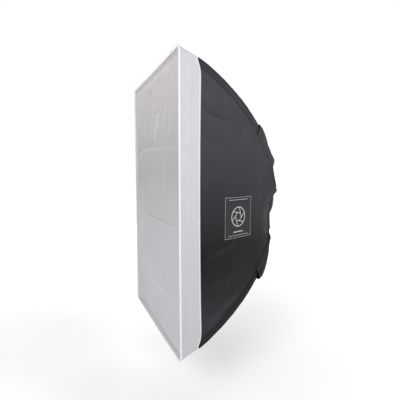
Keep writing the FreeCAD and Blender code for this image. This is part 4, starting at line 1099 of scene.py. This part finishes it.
def rod_line(sx, sz, s0, s1, n):
    """Points on a rod's arc; s is the distance back from its tip."""
    tip, root = np.array([TIP_Y, TIP_Q]), np.array([ROOT_Y, 0.0])
    mid, d = (tip + root) / 2, root - tip
    half = np.linalg.norm(d) / 2
    perp = np.array([d[1], -d[0]]) / np.linalg.norm(d)
    if perp[0] < 0:
        perp = -perp
    c = mid - perp * math.sqrt(ROD_R**2 - half**2)
    a0 = math.atan2(tip[1] - c[1], tip[0] - c[0])
    a1 = math.atan2(root[1] - c[1], root[0] - c[0])
    sgn = 1 if a1 > a0 else -1
    f = a0 + sgn * np.linspace(s0, s1, n) / ROD_R
    y, q = c[0] + ROD_R * np.cos(f), c[1] + ROD_R * np.sin(f)
    return np.stack([sx * (HUB + UX * q), y - DEPTH, sz * (HUB + UZ * q)], 1)


sleeves = []
for k, (cname, sx, sz) in enumerate(CORNER.values()):
    pts = rod_line(sx, sz, 0.0, 0.030, 16)
    tdir = pts[0] - pts[1]
    tdir /= np.linalg.norm(tdir)
    pts = np.concatenate([[pts[0] + tdir * 0.0055], [pts[0] + tdir * 0.0042], [pts[0] + tdir * 0.002], pts])
    rr = np.array([0.0012, 0.0036, 0.0050] + [0.0056] * 16)
    rr[-2:] = 0.0060
    out = np.array([sx * UX, 0.0, sz * UZ])
    Pn, Tn = frames_along(pts, False)
    Nn = out - Tn * (Tn @ out)[:, None]
    Nn /= np.linalg.norm(Nn, axis=1, keepdims=True)
    Bn = np.cross(Tn, Nn)
    f = np.linspace(0, 2 * np.pi, 25)[:-1]
    ring = Pn[:, None] + (Bn[:, None] * np.cos(f)[None, :, None] * 1.06 + Nn[:, None] * np.sin(f)[None, :, None] * 0.94) * rr[:, None, None]
    ring = ring + (noise(np.arange(len(pts))[:, None] * 0.7, f[None, :] * 2, 97 + k) * 0.0002)[..., None] * Nn[:, None]
    sleeves.append(cloth("sleeve_%d" % k, ring, 0.0010, [M["web"], M["web"]], closed=True, out=ring - Pn[:, None]))
settle(joined("corner_tip_pockets", sleeves), "softbox", "pocket_web", "corner_tip_pockets")

# ------------------------------------------------------------------ back of the shell
back_cols = columns([RIGHT, C_UR, TOP, C_UL, LEFT, C_LL, BOTTOM, C_LR], {RIGHT: 70, LEFT: 70, TOP: 50, BOTTOM: 50}, 8)[:-1]
KB, TB = np.array([c[0] for c in back_cols]), np.array([c[1] for c in back_cols])
y_back = float(ARC_Y + ARC_R * math.cos(phi_back))
P, N = skin(y_back + 0 * TB, KB, TB, -0.0004)
P[:, 1] += 0.0006
N_ = np.stack([0 * N[:, 0], 1 + 0 * N[:, 0], 0 * N[:, 0]], 1)
settle(tube("back_hems", P, N_, 0.0019, 0.0016, M["web"], closed=True, segs=12), "softbox", "black_oxford", "back_hems")
P, N = skin(y_back - 0.0125 + 0 * TB, KB, TB, 0.0003)
settle(stitches("back_hem_stitches", [(np.concatenate([P, P[:1]]), np.concatenate([N, N[:1]]))], M["thread_b"]), "softbox", "black_oxford")

ab, bb = (float(q) for q in half_sizes(y_back))
RING = 0.0775
gussets, gruns = [], []
for k, (side, ax) in enumerate(((RIGHT, 1), (TOP, 1), (LEFT, -1), (BOTTOM, -1))):
    vert = side in (RIGHT, LEFT)
    half_out = (bb if vert else ab) - (0.026 if vert else 0.022)
    arc = math.radians(30 if vert else 29)
    s = np.linspace(-1, 1, 61)
    r = np.linspace(0, 1, 22)
    S_, R_ = np.meshgrid(s, r)
    dr = (1 - (2 * S_ / 2) ** 2)
    E = on(side, y_back, S_ * half_out * (1 if side in (RIGHT, LEFT, TOP, BOTTOM) else 1), -0.0016)[0]
    ox = np.abs(E[..., 0] if vert else E[..., 2])
    oy = E[..., 1]
    oz = S_ * half_out
    ix, iz = RING * np.cos(arc * S_), RING * np.sin(arc * S_)
    e = R_
    px = ox + (ix - ox) * e
    pz = oz + (iz - oz) * e
    # the free side edges are cut hollow
    pz = pz * (1 - 0.10 * np.sin(np.pi * e) * np.abs(S_) ** 2)
    flat_y = y_back - DEPTH
    py = flat_y + (oy - flat_y) * np.exp(-((e / 0.12) ** 2)) + 0.0012 + 0.0010 * e - 0.0040 * np.sin(np.pi * e) * (0.5 + 0.5 * np.cos(np.pi * S_ * 0.8))
    py = py + noise(S_ * 3 + 5 * k, e * 2, 101 + k) * 0.0012 * np.sin(np.pi * e) + noise(S_ * 9, e * 1.2 + k, 105 + k) * 0.0007 * np.sin(np.pi * np.clip(e, 0, 1))
    if side == RIGHT:
        G = np.stack([px, py, pz], -1)
    elif side == LEFT:
        G = np.stack([-px, py, pz], -1)
    elif side == TOP:
        G = np.stack([pz, py, px], -1)
    else:
        G = np.stack([pz, py, -px], -1)
    g = cloth("gusset_%d" % k, G, 0.0009, [M["black"], M["silver"]], out=(0, 1, 0))
    gussets.append(g)
    for e0 in (0.055, 0.93):
        i = int(round(e0 * 21))
        q = G[i] + np.array([0, 0.0005, 0])
        gruns.append((q, np.tile(np.array([0, 1.0, 0]), (len(q), 1))))
    # rolled edge against the ring
    q = G[-1] + np.array([0, 0.0003, 0])
    gussets.append(tube("gusset_roll_%d" % k, q, np.tile(np.array([0, 1.0, 0]), (len(q), 1)), 0.0016, 0.0013, M["web"], segs=10))
    for j in (0, -1):
        q = G[:, j]
        gussets.append(tube("gusset_bind_%d_%d" % (k, j), q, np.tile(np.array([0, 1.0, 0]), (len(q), 1)), 0.0016, 0.0010, M["web"], segs=10))
settle(joined("back_gussets", gussets), "softbox", "black_oxford", "back_gussets")
settle(stitches("gusset_stitches", gruns, M["thread_b"]), "softbox", "black_oxford")

# ------------------------------------------------------------------ corner flaps
FW = 0.058
NEXT = {C_UR: (RIGHT, TOP), C_UL: (LEFT, TOP), C_LL: (LEFT, BOTTOM), C_LR: (RIGHT, BOTTOM)}


def catmull(ctrl, n):
    """Smooth line through control rows: ctrl has shape (k, m, 3); returns (n, m, 3)."""
    C = np.concatenate([2 * ctrl[:1] - ctrl[1:2], ctrl, 2 * ctrl[-1:] - ctrl[-2:-1]])
    k = len(ctrl) - 1
    seg = np.linalg.norm(np.diff(ctrl, axis=0), axis=-1).mean(1)
    L = np.concatenate([[0], np.cumsum(seg)])
    s = np.linspace(0, L[-1], n)
    i = np.clip(np.searchsorted(L, s, side="right") - 1, 0, k - 1)
    t = ((s - L[i]) / seg[i])[:, None, None]
    p0, p1, p2, p3 = C[i], C[i + 1], C[i + 2], C[i + 3]
    return 0.5 * (2 * p1 + (p2 - p0) * t + (2 * p0 - 5 * p1 + 4 * p2 - p3) * t**2 + (3 * p1 - p0 - 3 * p2 + p3) * t**3)


flap_y = np.array([float(y_of_q(q)) for q in np.linspace(0.239, 0.109, 50)])
STAND = {
    "upper_right": ((0, 0.10, 0.3, 0.55, 0.8, 1), (0.0050, 0.0080, 0.0060, 0.0012, 0.0014, 0.0050)),
    "lower_right": ((0, 0.10, 0.3, 0.55, 0.8, 1), (0.0120, 0.0160, 0.0130, 0.0070, 0.0020, 0.0002)),
    "upper_left": ((0, 0.10, 0.3, 0.55, 0.8, 1), (0.0120, 0.0135, 0.0100, 0.0060, 0.0040, 0.0050)),
    "lower_left": ((0, 0.10, 0.3, 0.55, 0.8, 1), (0.0100, 0.0120, 0.0095, 0.0065, 0.0045, 0.0030)),
}
hooks_h = {}
for c, (cname, sx, sz) in CORNER.items():
    side, lid = NEXT[c]
    s = np.linspace(0, 1, len(flap_y))
    stand = np.interp(s, *STAND[cname])
    wav = noise(s * 4 + c, 0.5, 111 + c) * 0.0008
    rows_ = [
        near_corner(side, c, flap_y, 0.026 + 0 * s, 0.0008)[0],
        near_corner(side, c, flap_y, 0.015 + 0 * s, 0.0034 + stand * 0.24)[0],
        near_corner(side, c, flap_y, 0.004 + 0 * s, 0.0030 + stand * 0.66 + wav)[0],
        skin(flap_y, np.full(s.shape, c), np.full(s.shape, 0.5), 0.0022 + stand * 0.95 + wav)[0],
        near_corner(lid, c, flap_y, 0.003 + 0 * s, 0.0022 + stand * 0.66 + wav)[0],
        near_corner(lid, c, flap_y, 0.012 + 0 * s, 0.0027 + stand * 0.22)[0],
        near_corner(lid, c, flap_y, 0.030 + 0 * s, 0.0028)[0],
        near_corner(lid, c, flap_y, FW - 0.002 + 0 * s, 0.0028)[0],
    ]
    # the two ends are cut at a slant and rounded a little
    G = catmull(np.stack(rows_), 54)
    n_, m_ = G.shape[:2]
    w = np.linspace(0, 1, n_)
    lift = noise(w[:, None] * 5 + c, s[None, :] * 3, 121 + c) * 0.0005
    cen = G.mean(axis=1, keepdims=True)
    shrink = 0.018 * np.clip((w - 0.45) / 0.55, 0, 1) ** 2
    tang = G[:, -1:] - G[:, :1]
    along_s = (s - 0.5)[None, :, None]
    G = G - tang * along_s * (shrink[:, None, None] * 2.0)
    N = normals_of(G)
    outward = G - np.array([0, -0.2, 0])
    if (N * outward).sum(-1).mean() < 0:
        N = -N
    G = G + N * lift[..., None] * fade(w, 0.0, 0.2)[:, None, None]
    flap = cloth("corner_flap_" + cname, G, 0.0011, [M["flap"], M["flap"]], out=N)
    body = "flap_" + cname
    F = np.array([sx * 0.17645, -0.137, sz * 0.26006])
    R = np.array([sx * 0.1103, -0.03352, sz * 0.15282])
    dirn = np.array([-UZ * sx, 0.0, UX * sz])
    ax = (R - F) / np.linalg.norm(R - F)
    dirn = dirn - ax * (dirn @ ax)
    dirn /= np.linalg.norm(dirn)
    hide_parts("corner_flap_" + cname)
    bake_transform(flap)
    # its double row of stitches and hook tape
    fr = []
    for i in (n_ - 3, n_ - 8):
        fr.append((G[i, 1:-1] + N[i, 1:-1] * 0.0004, N[i, 1:-1]))
    a0 = int(n_ * 0.52)
    for j in (2, m_ - 3):
        fr.append((G[a0:-3, j] + N[a0:-3, j] * 0.0004, N[a0:-3, j]))
    settle(stitches("flap_stitches_" + cname, fr, M["thread_b"]), body, "black_oxford")
    i0, i1 = int(n_ * 0.66), int(n_ * 0.97)
    HK = G[i0:i1, 2:-2] - N[i0:i1, 2:-2] * 0.00135
    settle(cloth("flap_hook_tape_" + cname, HK, 0.0008, [M["loop_b"], M["loop_b"]], out=N[i0:i1, 2:-2]), body, "black_tape", "flap_hook_tape_" + cname)

lt = []
for c, (cname, sx, sz) in CORNER.items():
    side, lid = NEXT[c]
    d = np.linspace(0.031, 0.0565, 12)
    Yg, Dg = np.meshgrid(flap_y[2:-2], d)
    P, N = near_corner(lid, c, Yg, Dg, 0.0006)
    lt.append(cloth("lt_" + cname, P, 0.0005, [M["loop_b"], M["loop_b"]], out=N))
settle(joined("flap_loop_tapes", lt), "softbox", "black_tape", "flap_loop_tapes")

# ------------------------------------------------------------------ label patch on the right side
L_Y0, L_Y1, L_Z0, L_Z1 = 0.1655, 0.2905, -0.1085, 0.0255


def on_label(y, z, h):
    return on(RIGHT, y, z, h)


Yl, Zl = np.meshgrid(np.linspace(L_Y0, L_Y1, 40), np.linspace(L_Z0, L_Z1, 44))
P, N = on_label(Yl, Zl, 0.0007)
lab = cloth("side_label", P, 0.0006, [M["patch"], M["patch"]], out=N)
settle(lab, "softbox", "label_patch", "side_label")


def ribbon(q, width, closed=False):
    q = np.asarray(q, float)
    if closed:
        d = np.roll(q, -1, 0) - np.roll(q, 1, 0)
    else:
        d = np.gradient(q, axis=0)
    d /= np.linalg.norm(d, axis=1, keepdims=True)
    nrm = np.stack([-d[:, 1], d[:, 0]], 1)
    a, b = q + nrm * width / 2, q - nrm * width / 2
    Y_ = np.stack([a[:, 0], b[:, 0]])
    Z_ = np.stack([a[:, 1], b[:, 1]])
    P, N = on_label(Y_, Z_, 0.00095)
    return cloth("pr", P, 0.00035, [M["print"], M["print"]], closed=closed, out=N)


marks = []
inset = 0.0020
c0, c1, d0, d1 = L_Y0 + inset, L_Y1 - inset, L_Z0 + inset, L_Z1 - inset
for a, b in (((c0, d0), (c1, d0)), ((c1, d0), (c1, d1)), ((c1, d1), (c0, d1)), ((c0, d1), (c0, d0))):
    s = np.linspace(0, 1, 30)[:, None]
    marks.append(ribbon(np.array(a) + (np.array(b) - np.array(a)) * s, 0.0009))
cy, cz, ro = (L_Y0 + L_Y1) / 2, (L_Z0 + L_Z1) / 2 + 0.002, 0.031
f = np.linspace(0, 2 * np.pi, 73)[:-1]
marks.append(ribbon(np.stack([cy + ro * np.cos(f), cz + ro * np.sin(f)], 1), 0.0032, closed=True))
# aperture blades: six straight cuts tangent to a small opening
for k in range(6):
    a0 = k * math.pi / 3 + 0.3
    p0 = np.array([cy + 0.0125 * math.cos(a0), cz + 0.0125 * math.sin(a0)])
    tdir = np.array([-math.sin(a0), math.cos(a0)])
    reach = math.sqrt(ro**2 - 0.0125**2) - 0.001
    s = np.linspace(-0.0072, reach, 14)[:, None]
    marks.append(ribbon(p0 + tdir * s, 0.0026))
for zz, wd, hh in ((L_Z1 - 0.0100, 0.086, 0.0015), (L_Z0 + 0.0205, 0.046, 0.0034), (L_Z0 + 0.0095, 0.094, 0.0013)):
    s = np.linspace(-0.5, 0.5, 24)[:, None]
    marks.append(ribbon(np.array([cy, zz]) + np.array([wd, 0.0]) * s, hh))
settle(joined("label_marks", marks), "softbox", "label_patch")
runs = []
e = 0.0042
for a, b in (((L_Y0 + e, L_Z0 + e), (L_Y1 - e, L_Z0 + e)), ((L_Y1 - e, L_Z0 + e), (L_Y1 - e, L_Z1 - e)), ((L_Y1 - e, L_Z1 - e), (L_Y0 + e, L_Z1 - e)), ((L_Y0 + e, L_Z1 - e), (L_Y0 + e, L_Z0 + e))):
    s = np.linspace(0, 1, 40)
    P, N = on_label(a[0] + (b[0] - a[0]) * s, a[1] + (b[1] - a[1]) * s, 0.0009)
    runs.append((P, N))
settle(stitches("label_stitches", runs, M["thread_b"], pitch=0.0034, length=0.0024), "softbox", "label_patch")

# ------------------------------------------------------------------ hardware edges
for node_name in ("bayonet_plate", "rotation_ring", "adapter_screws", "speed_ring", "socket_ring", "rod_socket_tubes", "ring_screws", "lock_knob", "rod_end_ferrules"):
    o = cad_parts[node_name]
    wd = o.modifiers.new("weld", "WELD")
    wd.merge_threshold = 0.00001
    bv = o.modifiers.new("bevel", "BEVEL")
    bv.width = 0.0005 if node_name not in ("ring_screws", "adapter_screws", "rod_end_ferrules") else 0.00025
    bv.segments = 2
    bv.limit_method = "ANGLE"
    bv.angle_limit = math.radians(35)
    bv.use_clamp_overlap = True
    bv.harden_normals = False

# ------------------------------------------------------------------ floor, light and camera
me = bpy.data.meshes.new("floor")
me.from_pydata([(-40, -40, -0.62), (40, -40, -0.62), (40, 40, -0.62), (-40, 40, -0.62)], [], [(0, 1, 2, 3)])
floor = bpy.data.objects.new("floor", me)
bpy.context.scene.collection.objects.link(floor)
fm, fnt, fb = mat_new("pale_floor")
fb.inputs["Base Color"].default_value = (0.93, 0.93, 0.93, 1)
fb.inputs["Roughness"].default_value = 0.9
fb.inputs["Specular IOR Level"].default_value = 0.1
# painted light: the floor glows, faintly under the object and almost white far away
ln = fnt.nodes.new("ShaderNodeVectorMath")
ln.operation = "LENGTH"
link(fnt, coords(fnt, "Object"), ln.inputs[0])
far = fnt.nodes.new("ShaderNodeMapRange")
far.inputs["From Min"].default_value = 0.3
far.inputs["From Max"].default_value = 4.6
far.inputs["To Min"].default_value = 0.13
far.inputs["To Max"].default_value = 0.90
link(fnt, ln.outputs["Value"], far.inputs["Value"])
link(fnt, far.outputs["Result"], fb.inputs["Emission Strength"])
fb.inputs["Emission Color"].default_value = (1, 1, 1, 1)
me.materials.append(fm)


def area_light(name, loc, target, size, size_y, power, col=(1, 1, 1), spread=math.pi):
    ld = bpy.data.lights.new(name, "AREA")
    ld.shape = "RECTANGLE"
    ld.size, ld.size_y = size, size_y
    ld.energy = power
    ld.color = col
    ld.spread = spread
    o = bpy.data.objects.new(name, ld)
    bpy.context.scene.collection.objects.link(o)
    d = Vector(target) - Vector(loc)
    o.matrix_world = Matrix.Translation(Vector(loc)) @ d.to_track_quat("-Z", "Y").to_matrix().to_4x4()
    return o


world = bpy.data.worlds.new("studio")
bpy.context.scene.world = world
world.use_nodes = True
wt = world.node_tree
bg = next(n for n in wt.nodes if n.type == "BACKGROUND")
wout = next(n for n in wt.nodes if n.type == "OUTPUT_WORLD")
# white surroundings to look at, with a softer light from them that is stronger overhead
sep = wt.nodes.new("ShaderNodeSeparateXYZ")
wt.links.new(coords(wt, "Generated"), sep.inputs[0])
mr = wt.nodes.new("ShaderNodeMapRange")
mr.inputs["From Min"].default_value = -0.5
mr.inputs["From Max"].default_value = 0.8
wt.links.new(sep.outputs[2], mr.inputs["Value"])
wt.links.new(ramp(wt, mr.outputs["Result"], [(0.0, (0.22, 0.22, 0.22)), (0.40, (0.40, 0.40, 0.41)), (1.0, (0.75, 0.74, 0.73))]), bg.inputs["Color"])
bg.inputs["Strength"].default_value = 0.30
white = wt.nodes.new("ShaderNodeBackground")
white.inputs["Color"].default_value = (1, 1, 1, 1)
white.inputs["Strength"].default_value = 1.0
lp = wt.nodes.new("ShaderNodeLightPath")
mixw = wt.nodes.new("ShaderNodeMixShader")
wt.links.new(lp.outputs["Is Camera Ray"], mixw.inputs[0])
wt.links.new(bg.outputs[0], mixw.inputs[1])
wt.links.new(white.outputs[0], mixw.inputs[2])
wt.links.new(mixw.outputs[0], wout.inputs["Surface"])
area_light("key_front_right", (3.0, -3.2, 2.4), (0.0, -0.25, 0.0), 2.4, 2.0, 93.0)
area_light("back_top", (2.3, 2.5, 1.75), (0.2, -0.2, 0.2), 1.8, 1.0, 56.0)
area_light("left_fill", (-3.2, 1.3, 1.5), (-0.1, -0.2, 0.0), 2.4, 1.6, 80.0)
area_light("overhead", (0.0, -0.2, 3.2), (0.0, -0.2, 0.0), 2.5, 2.5, 12.0)

cam_data = bpy.data.cameras.new("camera")
cam = bpy.data.objects.new("camera", cam_data)
bpy.context.scene.collection.objects.link(cam)
yaw, pitch, roll = -1.18860 - 0.00143, -0.08077 + 0.00143, -0.00168
fw = Vector((math.sin(yaw) * math.cos(pitch), math.cos(yaw) * math.cos(pitch), math.sin(pitch)))
right = fw.cross(Vector((0, 0, 1))).normalized()
up = right.cross(fw)
r2 = right * math.cos(roll) + up * math.sin(roll)
u2 = r2.cross(fw)
m = Matrix((r2, u2, -fw)).transposed().to_4x4()
cam.matrix_world = Matrix.Translation(Vector((1.21139, -0.76061, 0.10378))) @ m
cam_data.lens, cam_data.sensor_width, cam_data.sensor_fit = 31.54, 36.0, "HORIZONTAL"
cam_data.clip_end = 200.0
bpy.context.scene.camera = cam
bpy.context.scene.view_settings.view_transform = "Standard"

bpy.context.view_layer.update()
